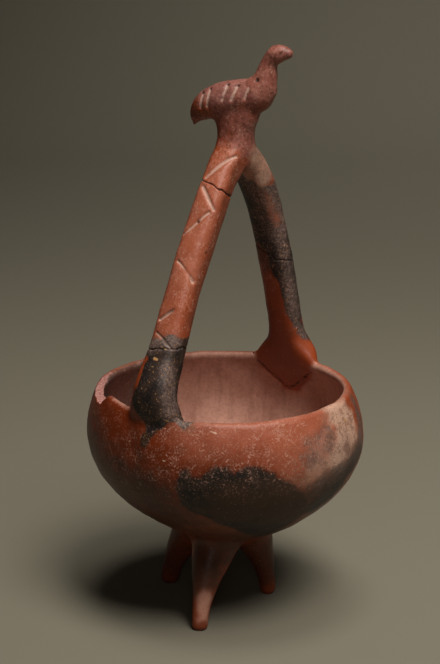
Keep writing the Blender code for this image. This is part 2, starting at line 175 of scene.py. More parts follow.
def bowl_rings(around=160):
    """Rings up the inside, over the lip and down the outside: (r cos a, r sin a, z) for each row."""
    inner, outer = wall_line(1)[0], wall_line(0)[0]
    section = np.vstack([inner[::-1], outer])
    a = np.linspace(0, 2 * math.pi, around, endpoint=False)
    x, y = section[:, :1] * np.cos(a), section[:, :1] * np.sin(a)
    return lean(np.stack([x, y, section[:, 1:] + 0 * a], 2))


print("bowl:", bowl_rings().shape[:2], "rings and points in each")

# %% [markdown]
# ## The handle
#
# Each leg is a strip of clay rolled nearly square, bent by eye and squeezed onto the rim, where it spreads
# to both sides. Under each root a pad of clay is smeared down the inside of the wall. A bevelled curve
# would give round legs only, so a leg is a row of superellipses along its bent path: the same formula as a
# circle's, with a power of 2.9 in place of 2.

# %% The paths of the legs and the stem
STEM_X, STEM_Z, HANDLE_TOP_Z = 0.0114, 0.2920, 0.3060
LEG_THICK, SQUARENESS = 0.0089, 2.9
STEM_THICK, STEM_WIDE, STEM_FLARE, STEM_SQUARENESS = 0.0093, 0.0099, 0.0052, 2.3
ROOT_LAP = 0.016
# which side of the bowl, half width, how far it bows, its bows as shares of the height and of the bow, and
# how much wider the root is, how high that reaches and how fast it fades
LEFT = {
    "sign": -1,
    "wide": 0.0093,
    "bow": 0.0077,
    "bows": ((0.93, -0.19), (0.86, -0.65), (0.64, -1), (0.43, -0.95), (0.21, -0.65), (0.07, -0.47)),
    "flare": (0.0064, 0.053, 1.8),
}
RIGHT = {
    "sign": 1,
    "wide": 0.0101,
    "bow": 0.0117,
    "bows": ((0.94, 0.07), (0.88, 0.55), (0.77, 0.89), (0.63, 1), (0.45, 0.76), (0.26, 0.44), (0.1, 0.03)),
    "flare": (0.0100, 0.030, 2.8),
}
# drop below the rim, half thickness and half width of the smeared clay, in mm
PAD = ((-16, 3, 6), (-8, 4, 9), (0, 4.2, 15), (6, 4.2, 18), (12, 4, 15.5), (17, 3.2, 10), (21, 2, 5))


def wall_radius(height, share):
    """The radius of the wall at a height, at a share of its thickness from the outside."""
    line = wall_line(share)[0][::-1]
    return np.interp(height, line[:, 1], line[:, 0])


def leg_path(leg, count=90):
    """x, z, half thickness and half width down a leg: thin inside the stem, a straight line to the rim
    plus its bows, then thinning into the wall. The width gains flare * (1 - height / flare height)^power at
    the root."""
    sign, wide, (more, flare_height, power) = leg["sign"], leg["wide"], leg["flare"]
    root_x = sign * wall_radius(RIM_Z - WALL / 2, 0)
    rows = [
        (STEM_X, z, LEG_THICK * thin, wide * thin) for z, thin in ((HANDLE_TOP_Z - WALL, 0.7), (STEM_Z, 0.85))
    ]
    for share, bend in leg["bows"]:
        z = RIM_Z + (STEM_Z - RIM_Z) * share
        x = root_x + (STEM_X - root_x) * share + leg["bow"] * bend
        rows.append((x, z, LEG_THICK, wide + more * max(0, 1 - (z - RIM_Z) / flare_height) ** power))
    for share, thin, narrow in ((0, 0.82, 1.0), (0.35, 0.48, 0.86), (0.7, 0.26, 0.52), (1, 0.14, 0.22)):
        z = RIM_Z - ROOT_LAP * share
        x = sign * wall_radius(min(z, RIM_Z - WALL / 2), 0.45)
        rows.append((x, z, LEG_THICK * thin, (wide + more) * narrow))
    return spline(rows, count)


def pad_path(leg, count=40):
    """x, z, half thickness and half width of the clay smeared down the inside of the wall under a root."""
    rows = []
    for drop, thick, wide in PAD:
        x = wall_radius(min(RIM_Z - drop * MM, RIM_Z - WALL / 2), 1) + (0.5 if drop > 0 else -0.5) * MM
        rows.append((leg["sign"] * x, RIM_Z - drop * MM, thick * MM, wide * MM))
    return spline(rows, count)


def stem_path():
    """x, z, half thickness and half width up the stem, which spreads under the bird's belly."""
    share, flare, thick = np.array([
        (-0.45, 0, 1), (0, 0.05, 1), (0.35, 0.22, 1), (0.65, 0.5, 1), (0.9, 0.82, 1), (1.12, 1, 0.97),
        (1.52, 0.75, 0.85),
    ]).T
    z = STEM_Z + (HANDLE_TOP_Z - STEM_Z) * share
    wide = STEM_WIDE + STEM_FLARE * flare
    return spline(np.column_stack([STEM_X + 0 * z, z, STEM_THICK * thick, wide]), 16)


def root_bend(points, leg):
    """How far a leg's root bends round with the wall: y^2 / 2R, fading out above the flare."""
    fade = smoothstep(RIM_Z + leg["flare"][1], RIM_Z, points[..., 2])
    return leg["sign"] * fade * points[..., 1] ** 2 / (2 * RIM_RADIUS)


def strip_rings(path, squareness, leg=None, around=40):
    """A superellipse round each row of a path in the plane y = 0: the thickness times cos(a)^(2/n) across
    it and the width times sin(a)^(2/n) along y, each with its own sign."""
    way = np.gradient(path[:, :2], axis=0)
    way /= np.linalg.norm(way, axis=1)[:, None]
    a = np.linspace(0, 2 * math.pi, around, endpoint=False)
    cos = np.sign(np.cos(a)) * np.abs(np.cos(a)) ** (2 / squareness)
    sin = np.sign(np.sin(a)) * np.abs(np.sin(a)) ** (2 / squareness)
    x = path[:, :1] - way[:, 1:] * path[:, 2:3] * cos
    z = path[:, 1:2] + way[:, :1] * path[:, 2:3] * cos
    rings = np.stack([x, path[:, 3:4] * sin, z], 2)
    if leg:
        rings[..., 0] -= root_bend(rings, leg)
    return rings


stem_rows = stem_path()
legs = [(leg_path(leg), leg) for leg in (LEFT, RIGHT)]
print("the legs are", [int(1000 * np.ptp(path[:, 1])) for path, _ in legs], "mm high")

# %% [markdown]
# ## The feet
#
# Three cones of clay, leaning inwards as they rise. Their tips are worn round and each has a small flat
# where it stands. A cone with a straight axis would miss the curve that the hand gives, so each foot is a
# row of circles whose centres drift towards the bowl's middle.

# %% The paths of the feet
FEET = {"left": (0.0476, -166.1, 1.0), "right": (0.0301, -31.8, 1.0), "back": (0.0476, 82.3, 1.22)}
TIP, NECK, SHOULDER, TIP_HEIGHT, WORN, SPLAY = 0.0049, 0.0076, 0.0150, 0.0045, 0.0012, 0.60


def foot_path(reach, heading, girth, count=40):
    """x, y, z and radius up a foot. The centre drifts inwards by splay * (t/4 + 3t^2/4) of the way."""
    base = np.array([math.cos(LEAN_HEADING), math.sin(LEAN_HEADING)]) * LEAN * (BODY_Z - BASE_Z)
    tip = np.array([math.cos(math.radians(heading)), math.sin(math.radians(heading))]) * reach
    top, waist = BASE_Z + FLOOR_WALL, (BASE_Z + TIP_HEIGHT) / 2
    rows = np.array([
        (0, -WORN, TIP * 0.25), (0, 0, TIP * 0.66), (0, 0.3 * TIP_HEIGHT, TIP * 0.90),
        (0, TIP_HEIGHT, TIP), (0, 0.55 * waist, TIP * 1.12), (0, waist, NECK),
        (0, 0.8 * BASE_Z, NECK * 1.40), (0, BASE_Z, NECK * 1.75), (0, top, SHOULDER),
    ])
    _, z, radius = spline(rows, count).T
    t = z / top
    gather = (SPLAY * (0.25 * t + 0.75 * t**2))[:, None]
    centre = tip * (1 - gather) + base * gather
    return np.column_stack([centre, z, radius * (girth + (1 - girth) * t)])


def foot_rings(path, around=32):
    """A level circle round each row: (x + r cos a, y + r sin a, z)."""
    a = np.linspace(0, 2 * math.pi, around, endpoint=False)
    x, y = path[:, :1] + path[:, 3:] * np.cos(a), path[:, 1:2] + path[:, 3:] * np.sin(a)
    return np.stack([x, y, path[:, 2:3] + 0 * a], 2)


foot_paths = {name: foot_path(*foot) for name, foot in FEET.items()}
print("the feet stand", {name: round(1000 * foot[0]) for name, foot in FEET.items()}, "mm from the middle")

# %% [markdown]
# ## The bird
#
# A plump body with a drooping tail, a neck that rises from the breast and a head that looks ahead. The
# maker pulled it from one lump, so body and neck are two overlapping rows of circles in the bird's own
# upright plane, a little slimmer across than high. Its places are shares of its length.

# %% The paths of the bird
BIRD_LENGTH, BIRD_HEADING, BIRD_SLIM = 0.0622, math.radians(-78), 0.96
BODY = (
    (-0.431, -0.088, 0.016), (-0.408, -0.029, 0.068), (-0.322, 0.069, 0.133), (-0.169, 0.141, 0.170),
    (0.000, 0.182, 0.178), (0.145, 0.206, 0.167), (0.273, 0.241, 0.129), (0.346, 0.265, 0.048),
)
HEAD = (
    (0.137, 0.129, 0.113), (0.209, 0.217, 0.161), (0.265, 0.305, 0.143), (0.302, 0.394, 0.115),
    (0.316, 0.455, 0.100), (0.330, 0.515, 0.084), (0.362, 0.575, 0.082), (0.415, 0.617, 0.090),
    (0.480, 0.630, 0.074), (0.528, 0.628, 0.052),
)


def bird_frame(points):
    """s towards the head, z over the handle's top and the side, of points in the vessel's frame."""
    x, y = points[..., 0] - STEM_X, points[..., 1]
    cos, sin = math.cos(BIRD_HEADING), math.sin(BIRD_HEADING)
    return x * cos + y * sin, points[..., 2] - HANDLE_TOP_Z, y * cos - x * sin


def from_bird_frame(s, z, side):
    """The same way back: points in the vessel's frame."""
    cos, sin = math.cos(BIRD_HEADING), math.sin(BIRD_HEADING)
    return np.stack([STEM_X + s * cos - side * sin, s * sin + side * cos, HANDLE_TOP_Z + z + 0 * side], -1)


def bird_rings(path, around=32):
    """A circle across each row of s, z and radius, slimmed along the side."""
    way = np.gradient(path[:, :2], axis=0)
    way /= np.linalg.norm(way, axis=1)[:, None]
    a = np.linspace(0, 2 * math.pi, around, endpoint=False)
    s = path[:, :1] - way[:, 1:] * path[:, 2:] * np.cos(a)
    z = path[:, 1:2] + way[:, :1] * path[:, 2:] * np.cos(a)
    return from_bird_frame(s, z, path[:, 2:] * BIRD_SLIM * np.sin(a))


body_path, head_path = spline(BODY, 60) * BIRD_LENGTH, spline(HEAD, 60) * BIRD_LENGTH
print("the bird's head is", round(1000 * head_path[-1, 0]), "mm in front of the stem")

# %% [markdown]
# ## One skin
#
# Joined clay has no seams: wet fingers pull it into soft hollows. A Boolean union would leave a crease at
# each joint, and sculpting can't be repeated. So every form also gets a distance formula, below 0 in the
# clay and above 0 outside it, and a smooth minimum joins the formulas. Where two distances come within
# its reach of each other it adds a little clay, just as a finger does.

# %% Distances from the forms
FAR = 0.05
# how far each soft joint reaches
FEET_TOGETHER, FEET_TO_BOWL, PAD_TO_LEG, LEG_TO_LEG = 2 * MM, 8.5 * MM, 6 * MM, 7 * MM
STEM_TO_LEGS, BIRD_TO_STEM, NECK_TO_BODY, RIGHT_ROOT = 4 * MM, 2.2 * MM, 3 * MM, 7.5 * MM
LEFT_ROOT_INSIDE, LEFT_ROOT_MORE = 3.5 * MM, 4.5 * MM
middle_line, middle_thick = wall_line(0.5)
middle_inward = np.gradient(middle_line, axis=0)[:, ::-1] * (1, -1)
middle_inward /= np.linalg.norm(middle_inward, axis=1)[:, None]


def smooth_min(a, b, reach):
    """The smaller of a and b, less reach * h * (1 - h), where h runs from 0 to 1 as b - a crosses reach."""
    h = np.clip(0.5 + 0.5 * (b - a) / reach, 0, 1)
    return b + (a - b) * h - reach * h * (1 - h)


def distance_from(points, line):
    """The distance from the nearest place on a line, for each point."""
    return np.linalg.norm(nearest(points, line)[1], axis=1)


def inside_box(points, low, high, formula):
    """The formula's value for the points in a box and FAR elsewhere, which saves most of the work."""
    chosen = ((points > low) & (points < high)).all(1)
    value = np.full(len(points), FAR)
    value[chosen] = formula(points[chosen])
    return value


def bowl_distance(points):
    """Half the wall's thickness less than the distance from its middle line. The second value is above 0
    outside the middle line and below 0 inside."""
    upright = lean(points, -1)
    radius = np.hypot(upright[:, 0], upright[:, 1])
    along, offset = nearest(np.column_stack([radius, upright[:, 2]]), middle_line)
    inward = np.stack([values_at(along, part) for part in middle_inward.T], 1)
    side = -(offset * inward).sum(1)
    return np.linalg.norm(offset, axis=1) - values_at(along, middle_thick) / 2, side


def strip_distance(points, path, squareness, leg=None):
    """With a and b the offsets across a strip and along its width, each over the half size there, and
    rho = (|a|^n + |b|^n)^(1/n), the surface is 1 / rho of the way out from the middle. A plane shuts each
    end."""
    flat = points[:, [0, 2]].copy()
    if leg:
        flat[:, 0] += root_bend(points, leg)
    along, offset = nearest(flat, path[:, :2])
    thick, wide = values_at(along, path[:, 2]), values_at(along, path[:, 3])
    way = np.gradient(path[:, :2], axis=0)
    way /= np.linalg.norm(way, axis=1)[:, None]
    ends = way[[0, -1]]
    way = np.stack([values_at(along, part) for part in way.T], 1)
    past = np.maximum((path[0, :2] - flat) @ ends[0], (flat - path[-1, :2]) @ ends[1])
    across, y = offset[:, 0] * way[:, 1] - offset[:, 1] * way[:, 0], points[:, 1]
    rho = (np.abs(across / thick) ** squareness + np.abs(y / wide) ** squareness) ** (1 / squareness)
    side = np.hypot(across, y) * (1 - 1 / np.maximum(rho, 0.05))
    return np.where((side > 0) & (past > 0), np.hypot(side, past), np.maximum(side, past))


def round_distance(points, path):
    """The distance from a path less the radius there. The last number of each of its rows is the radius."""
    along, offset = nearest(points, path[:, :-1])
    return np.linalg.norm(offset, axis=1) - values_at(along, path[:, -1])


def bird_distance(points):
    """The distance from the bird: its side is stretched until its rings are circles again."""
    s, z, side = bird_frame(points)
    places = np.column_stack([s, z, side / BIRD_SLIM])
    upright = [np.insert(path, 2, 0, axis=1) for path in (body_path, head_path)]
    body, head = [round_distance(places, path) for path in upright]
    return smooth_min(body, head, NECK_TO_BODY)


def vessel_distance(points):
    """The distance from the whole vessel: the smooth minimum of all its forms, and nothing under the
    floor, which leaves the flats under the feet. The feet's joint stays outside the bowl, and the left
    root's joint reaches further below the rim than above it. The boxes are wider than the forms and their
    joints, and only save time."""
    whole, side = bowl_distance(points)
    foot = np.full(len(points), FAR)
    for path in foot_paths.values():
        reach = path[:, 3].max() + 20 * MM
        box = path[:, :3].min(0) - reach, path[:, :3].max(0) + reach
        cone = inside_box(points, *box, lambda part: round_distance(part, path))
        foot = smooth_min(foot, cone, FEET_TOGETHER)
    whole = smooth_min(whole, foot + 3 * np.maximum(0, -side), FEET_TO_BOWL)
    handle = np.full(len(points), FAR)
    for path, leg in legs:
        box = (path[:, 0].min() - 0.03, -0.05, 0.10), (path[:, 0].max() + 0.03, 0.05, 0.33)
        strip = inside_box(points, *box, lambda part: strip_distance(part, path, SQUARENESS, leg))
        pad = inside_box(points, *box, lambda part: strip_distance(part, pad_path(leg), 2, leg))
        handle = smooth_min(handle, smooth_min(strip, pad, PAD_TO_LEG), LEG_TO_LEG)
    box = (STEM_X - 0.03, -0.04, 0.27), (STEM_X + 0.03, 0.04, 0.33)
    stem = inside_box(points, *box, lambda part: strip_distance(part, stem_rows, STEM_SQUARENESS))
    handle = smooth_min(handle, stem, STEM_TO_LEGS)
    bird = inside_box(points, (-0.03, -0.07, 0.28), (0.05, 0.06, 0.37), bird_distance)
    handle = smooth_min(handle, bird, BIRD_TO_STEM)
    left_root = LEFT_ROOT_INSIDE + LEFT_ROOT_MORE * smoothstep(RIM_Z + 1 * MM, RIM_Z - 8 * MM, points[:, 2])
    reach = np.where(points[:, 0] > 0, RIGHT_ROOT, left_root)
    return np.maximum(smooth_min(whole, handle, reach), -points[:, 2])


probe = np.array([(0.0, 0.0, 0.1), (-0.085, 0.0, 0.1133), (0.0, 0.0, 0.047)])
print("from the air inside, the widest ring and the base:", np.round(vessel_distance(probe) * 1000, 1), "mm")

# %% [markdown]
# ## Marks of the maker and of time
#
# A blunt point pressed a zigzag down the left leg and five feathers into each of the bird's flanks while
# the clay was soft. Later a long flake broke off the rim, the legs and a pad cracked, and small stones fell
# out and left pits. Each mark changes the distance near it: a groove adds exp(-(d / w)^2) of its depth, where
# d is the distance from its line and w its half width, and the flake is a slab taken off the rim. The grooves
# and cracks could be cut with Booleans, but their sides would be as sharp as a knife's.

# %% Grooves, pits and the broken rim
# three points of each stroke in mm, then its half width and depth in mm
ZIGZAG = (
    ((-0.9, -7.3, 284.3), (-9.4, -2.3, 279.8), (-15.1, 3.8, 273.5), 1.5, 1.1),
    ((-18.8, 3.5, 268.1), (-22.8, -2.7, 262.9), (-24.4, -7.4, 256.6), 1.3, 1.1),
    ((-26.6, -6.0, 255.0), (-31.6, -0.9, 249.3), (-34.6, 5.6, 241.9), 1.2, 0.9),
    ((-43.7, 3.7, 227.7), (-45.6, -2.5, 223.5), (-46.6, -7.4, 217.8), 1.4, 1.2),
    ((-54.4, -6.4, 205.5), (-58.8, -1.6, 201.5), (-61.2, 4.5, 196.4), 1.2, 1.4),
    ((-65.1, 4.7, 189.4), (-68.4, -3.2, 186.0), (-67.8, -6.5, 182.6), 1.0, 0.8),
)
# the ends of the bird's feathers, in shares of its length
FEATHERS = (
    ((-0.302, 0.209), (-0.315, 0.093)), ((-0.227, 0.251), (-0.241, 0.109)),
    ((-0.048, 0.299), (-0.080, 0.180)), ((0.058, 0.299), (0.013, 0.186)), ((0.177, 0.299), (0.150, 0.211)),
)
# three points of each crack's plane in mm, then its half width and depth in mm
CRACKED_LEGS = (
    ((-16.7, 4.1, 271.3), (-17.9, -5.1, 268.9), (-11.8, -9.6, 263.6), 0.5, 1.1),
    ((-70.5, 6.0, 180.6), (-69.1, -5.8, 182.3), (-62.0, -9.0, 181.5), 0.4, 0.8),
    ((45.2, -3.4, 214.6), (50.0, -8.4, 211.7), (56.0, -2.0, 214.5), 0.4, 0.7),
)
# y and z in mm along the crack under the right root
CRACKED_WALL = (
    (25.5, 142.6), (18.7, 135.3), (11.5, 128.0), (1.6, 120.1), (-5.0, 124.0), (-11.6, 129.3), (-18.8, 135.2),
)
# place, half width and depth in mm; the second is the bird's eye
PITS = (
    ((7.9, -16.9, 329.7), 1.3, 1.1),
    ((12.6, -29.7, 345.4), 1.0, 0.7),
    ((74.6, 24.7, 111.0), 1.2, 1.2),
    ((-31.2, -1.5, 250.0), 1.0, 1.0),
    ((-29.6, 0.8, 250.8), 0.8, 0.8),
    ((-57.5, -3.0, 202.6), 1.0, 0.9),
    ((-34.6, -9.2, 233.0), 0.7, 0.5),
    ((76.0, 8.0, 125.5), 1.0, 0.9),
    ((74.0, -14.0, 131.5), 1.1, 1.0),
    ((3.5, 18.4, 319.8), 0.7, 0.4),
    ((3.8, 12.9, 322.6), 0.7, 0.4),
    ((5.0, 1.2, 325.8), 0.8, 0.5),
    ((5.4, -5.6, 325.7), 0.8, 0.5),
    ((7.0, -12.4, 326.5), 0.6, 0.4),
)
FEATHER_WIDE, FEATHER_DEEP = 1.4 * MM, 0.8 * MM
WALL_CRACK_WIDE, WALL_CRACK_DEEP = 0.4 * MM, 0.5 * MM
BREAK_HEADING, BREAK_LENGTH, BREAK_DEPTH, BREAK_RAMP = math.radians(122.5), 0.0720, 0.0038, 0.0035


def curve_through(first, middle, last, steps=12):
    """The parabola through three points: (1-t)^2 a + 2t(1-t) b + t^2 c, where b is twice the middle point
    less the mean of the ends."""
    a, m, c = (np.array(point) * MM for point in (first, middle, last))
    t = np.linspace(0, 1, steps)[:, None]
    return (1 - t) ** 2 * a + 2 * t * (1 - t) * (2 * m - (a + c) / 2) + t**2 * c


def waves(points, wavelength, seed, count=14):
    """A gentle unevenness: the mean of sines in random directions whose lengths are near the wavelength."""
    random = np.random.default_rng(seed)
    ways = random.normal(size=(count, 3))
    turns = 2 * math.pi / wavelength / np.linalg.norm(ways, axis=1)[:, None]
    ways *= turns * random.uniform(0.7, 1.4, (count, 1))
    return np.sin(points @ ways.T + random.uniform(0, 6.3, count)).sum(1) / math.sqrt(count)


def groove_distances(points):
    """For each pressed groove, the distance from its line with its half width and depth, in metres."""
    for *ends, wide, deep in ZIGZAG:
        line = curve_through(*ends)
        box = (-0.08, -0.02, 0.17), (0.02, 0.02, 0.30)
        yield inside_box(points, *box, lambda part: distance_from(part, line)), wide * MM, deep * MM
    s, z, _ = bird_frame(points)
    places = np.column_stack([s, z])
    low, high = (-0.5 * BIRD_LENGTH, 0.05 * BIRD_LENGTH), (0.3 * BIRD_LENGTH, 0.4 * BIRD_LENGTH)
    for ends in FEATHERS:
        line = np.array(ends) * BIRD_LENGTH
        d = inside_box(places, low, high, lambda part: distance_from(part, line))
        yield d, FEATHER_WIDE, FEATHER_DEEP


def crack_distances(points):
    """The same for cracks. A leg has cracked across along the plane through three points, a little wavy;
    the wall under the right root has cracked along a line of y and z."""
    jag = 0.45 * MM * waves(points, 0.006, 3) + 0.2 * MM * waves(points, 0.0025, 4)
    for a, b, c, wide, deep in CRACKED_LEGS:
        a, b, c = (np.array(point) * MM for point in (a, b, c))
        normal = np.cross(b - a, c - a)
        d = np.abs((points - a) @ normal / np.linalg.norm(normal) + jag)
        yield np.where(np.linalg.norm(points - b, axis=1) < 0.028, d, FAR), wide * MM, deep * MM
    line = np.array(CRACKED_WALL) * MM
    box = (0.055, -0.04, 0.11), (0.079, 0.04, 0.15)
    d = inside_box(
        points, *box, lambda part: distance_from(part[:, 1:], line) + 0.5 * MM * (bowl_distance(part)[1] > 0)
    )
    yield np.abs(d + jag * 1.3), WALL_CRACK_WIDE, WALL_CRACK_DEEP


def break_depth(points):
    """How deep a point lies in the flake that broke off the rim, above 0 in the flake. Its floor sinks as a
    quarter of a sine from one end, rises steeply at both ends, and is rough by three sines."""
    heading = np.arctan2(points[:, 1], points[:, 0])
    t = np.angle(np.exp(1j * (heading - BREAK_HEADING))) * RIM_RADIUS / BREAK_LENGTH + 0.5
    across = 2100 * points[:, 0] + 1700 * points[:, 1]
    rough = 0.4 * np.sin(34 * t) + 0.25 * np.sin(71 * t + 1) + 0.2 * np.sin(across)
    floor = RIM_Z - BREAK_DEPTH * np.sin(math.pi / 2 * np.clip(1.8 * t, 0, 1)) + rough * MM
    ends = np.maximum(0, BREAK_RAMP - np.minimum(t, 1 - t) * BREAK_LENGTH)
    return np.minimum(points[:, 2] - floor - 1.2 * ends, RIM_Z + 8 * MM - points[:, 2])


def marked_distance(points):
    """The vessel's distance with the hand's unevenness, its grooves, cracks and pits."""
    value = vessel_distance(points)
    value += 0.20 * MM * waves(points, 0.035, 1) + 0.10 * MM * waves(points, 0.012, 2)
    for d, wide, deep in groove_distances(points):
        value += deep * np.exp(-((d / wide) ** 2))
    for d, wide, deep in crack_distances(points):
        value += deep * np.exp(-((d / wide) ** 2))
    for place, wide, deep in PITS:
        d = np.linalg.norm(points - np.array(place) * MM, axis=1)
        value += deep * MM * np.exp(-((d / (wide * MM)) ** 2))
    return value


print(len(ZIGZAG), "strokes of the zigzag,", 2 * len(FEATHERS), "feathers and", len(PITS), "pits")

# %% [markdown]
# ## Closed forms
#
# Each form starts as rings, as a coil pot does. Squares between the rings and a fan in the middle of the
# first and the last ring close it, so no form has a hole. They still only overlap, like lumps of clay that
# are held together and not yet joined.

# %% Close the rings of every form
def closed_skin(rings):
    """Points and faces of a skin through rings: squares between them and a fan to the middle of each end."""
    count, around = rings.shape[:2]
    points = np.vstack([rings.reshape(-1, 3), rings[0].mean(0), rings[-1].mean(0)])
    i, j = np.meshgrid(np.arange(count - 1) * around, np.arange(around), indexing="ij")
    k = (j + 1) % around
    squares = np.stack([i + j, i + k, i + around + k, i + around + j], -1).reshape(-1, 4)
    j, k = np.arange(around), (np.arange(around) + 1) % around
    first, last = np.full(around, count * around), np.full(around, count * around + 1)
    lid = (count - 1) * around
    fans = np.vstack([np.stack([first, k, j], 1), np.stack([last, lid + j, lid + k], 1)])
    return points, squares.tolist() + fans.tolist()


def joined(skins):
    """The points and faces of many skins as those of one."""
    points, faces, used = [], [], 0
    for part, sides in skins:
        points.append(part)
        faces += [[k + used for k in side] for side in sides]
        used += len(part)
    return np.vstack(points), faces


rows_of_rings = [bowl_rings(), strip_rings(stem_rows, STEM_SQUARENESS)]
rows_of_rings += [strip_rings(path, SQUARENESS, leg) for path, leg in legs]
rows_of_rings += [foot_rings(path) for path in foot_paths.values()]
rows_of_rings += [bird_rings(path) for path in (body_path, head_path)]
points, faces = joined(closed_skin(rings) for rings in rows_of_rings)
raw = bpy.data.meshes.new("clay_forms")
raw.from_pydata(points, [], faces)
form = bpy.data.objects.new("clay_forms", raw)
bpy.context.scene.collection.objects.link(form)
shape = bmesh.new()
shape.from_mesh(raw)
bmesh.ops.remove_doubles(shape, verts=shape.verts, dist=1e-7)
bmesh.ops.recalc_face_normals(shape, faces=shape.faces)
shape.to_mesh(raw)
shape.free()
print(len(rows_of_rings), "closed forms with", len(raw.vertices), "points")

# %% [markdown]
# ## One piece of clay
#
# A voxel Remesh reads the forms as one solid and gives it an even mesh with a point every two millimetres
# or so. A Boolean union would keep the uneven faces of the rings. Where forms overlap the Remesh can leave
# small shells shut in the clay, so only the largest piece stays.

# %% Fuse the forms
VOXEL = 1.7 * MM


def coordinates(mesh):
    """The places of all points, a row for each."""
    flat = np.empty(len(mesh.vertices) * 3)
    mesh.vertices.foreach_get("co", flat)
    return flat.reshape(-1, 3)


def edge_ends(mesh):
    """The numbers of the points at both ends of each edge."""
    ends = np.empty(len(mesh.edges) * 2, int)
    mesh.edges.foreach_get("vertices", ends)
    return ends.reshape(-1, 2).T


def keep_largest(mesh):
    """Removes what the remesh leaves shut in the clay. Each point takes the lowest number among itself and
    its neighbours again and again, so that points with the same number end up in the same piece."""
    a, b = edge_ends(mesh)
    label, before = np.arange(len(mesh.vertices)), None
    while before is None or (label != before).any():
        before = label.copy()
        lowest = np.minimum(label[a], label[b])
        np.minimum.at(label, a, lowest)
        np.minimum.at(label, b, lowest)
        label = label[label]
    largest = np.bincount(label).argmax()
    shape = bmesh.new()
    shape.from_mesh(mesh)
    bmesh.ops.delete(shape, geom=[v for v, k in zip(shape.verts, label) if k != largest], context="VERTS")
    shape.to_mesh(mesh)
    shape.free()


fuse = form.modifiers.new("Fuse", "REMESH")
fuse.mode, fuse.voxel_size = "VOXEL", VOXEL
skin = bpy.data.meshes.new_from_object(form.evaluated_get(bpy.context.evaluated_depsgraph_get()))
bpy.data.objects.remove(form)
keep_largest(skin)
print("fused:", len(skin.vertices), "points; box", np.round(np.ptp(coordinates(skin), axis=0) * 1000, 1))

# %% [markdown]
# ## Onto the formula
#
# The Remesh knows nothing of soft joints. So each point moves along its normal by its distance from the
# vessel, a few times over, until all lie on the formula, and even moves along the surface between these
# steps keep the faces regular. A Smooth modifier would shrink the thin wall instead. The rim is pressed down
# to the flake's floor first, because normals there point sideways and can't lead a point down.

# %% Move the skin onto the formula
MOST_A_ROUND = 1.5 * MM


def normals_of(mesh):
    """The way straight out of the surface at all points."""
    flat = np.empty(len(mesh.vertices) * 3)
    mesh.vertex_normals.foreach_get("vector", flat)
    return flat.reshape(-1, 3)


def evened(mesh, points, normals, along_only):
    """Each point moved half way to the mean of its neighbours, all the way or only along the surface."""
    (a, b), size = edge_ends(mesh), len(points)
    count = (np.bincount(a, minlength=size) + np.bincount(b, minlength=size))[:, None]
    total = np.stack([
        np.bincount(a, points[b, k], size) + np.bincount(b, points[a, k], size) for k in range(3)
    ], 1)
    move = total / count - points
    if along_only:
        move -= normals * (move * normals).sum(1)[:, None]
    return points + 0.5 * move


def sink_rim(points, depth=6 * MM):
    """Presses the rim down to the flake's floor. The wall from that depth under the floor up to the rim
    shortens evenly, so no face folds over another."""
    level = points[:, 2] - break_depth(points)
    drop = np.maximum(RIM_Z - level, 0) * (np.abs(points[:, 2] - RIM_Z) < 3 * depth)
    points[:, 2] -= drop * np.clip((points[:, 2] - level + depth) / (drop + depth), 0, 1)


def pull(mesh, formula, rounds, soften=0):
    """Moves every point along its normal by the formula's distance, but not too far in one round. The first
    rounds also soften creases; all but the last spread the points evenly. A point under the flake rises no
    higher than its floor, and one above the floor sinks straight down to it. Gives the largest distance
    that is left."""
    for step in range(rounds):
        points, normals = coordinates(mesh), normals_of(mesh)
        if step < rounds - 1:
            points = evened(mesh, points, normals, step >= soften)
        distance = np.maximum(formula(points), np.minimum(break_depth(points), 0))
        points -= normals * np.clip(distance, -MOST_A_ROUND, MOST_A_ROUND)[:, None]
        points[:, 2] -= np.maximum(break_depth(points), 0)
        mesh.vertices.foreach_set("co", points.ravel())
        mesh.update()
    return np.abs(np.maximum(formula(points), break_depth(points))).max()


points = coordinates(skin)
sink_rim(points)
skin.vertices.foreach_set("co", points.ravel())
left_over = pull(skin, vessel_distance, 8, soften=3)
print("the largest distance left after the first rounds is", round(1000 * left_over, 2), "mm")

# %% [markdown]
# ## Stray points
#
# A few points between two forms have clay on all sides, and no rounds bring them to the surface. They are
# cut out, the holes are closed, and the points around them move again, until none is left.

# %% Cut out the stray points
def cut_strays(mesh, reach=0.4 * MM):
    """Cuts out the points shut inside the clay, which no rounds bring to the surface, and those where
    surfaces touch, with their neighbours, and closes the holes. Gives how many there were, and how many
    edges still don't have two faces."""
    points = coordinates(mesh)
    off = np.abs(np.maximum(vessel_distance(points), np.minimum(break_depth(points), 0))) > reach
    shape = bmesh.new()
    shape.from_mesh(mesh)
    chosen = {v for v in shape.verts if off[v.index] or not v.is_manifold}
    count = len(chosen)
    chosen |= {e.other_vert(v) for v in chosen for e in v.link_edges}
    while chosen:
        bmesh.ops.delete(shape, geom=list(chosen), context="VERTS")
        chosen = [v for v in shape.verts if sum(e.is_boundary for e in v.link_edges) > 2]
    fresh = bmesh.ops.holes_fill(shape, edges=[e for e in shape.edges if e.is_boundary], sides=0)["faces"]
    bmesh.ops.triangulate(shape, faces=fresh)
    still_open = sum(not e.is_manifold for e in shape.edges)
    shape.to_mesh(mesh)
    shape.free()
    return count, still_open


for _ in range(5):
    strays, unclosed = cut_strays(skin)
    if not strays:
        break
    print(strays, "stray points cut out;", unclosed, "edges that don't have two faces")
    keep_largest(skin)
    left_over = pull(skin, vessel_distance, 2)
print("soft joints: the largest distance left is", round(1000 * left_over, 2), "mm")

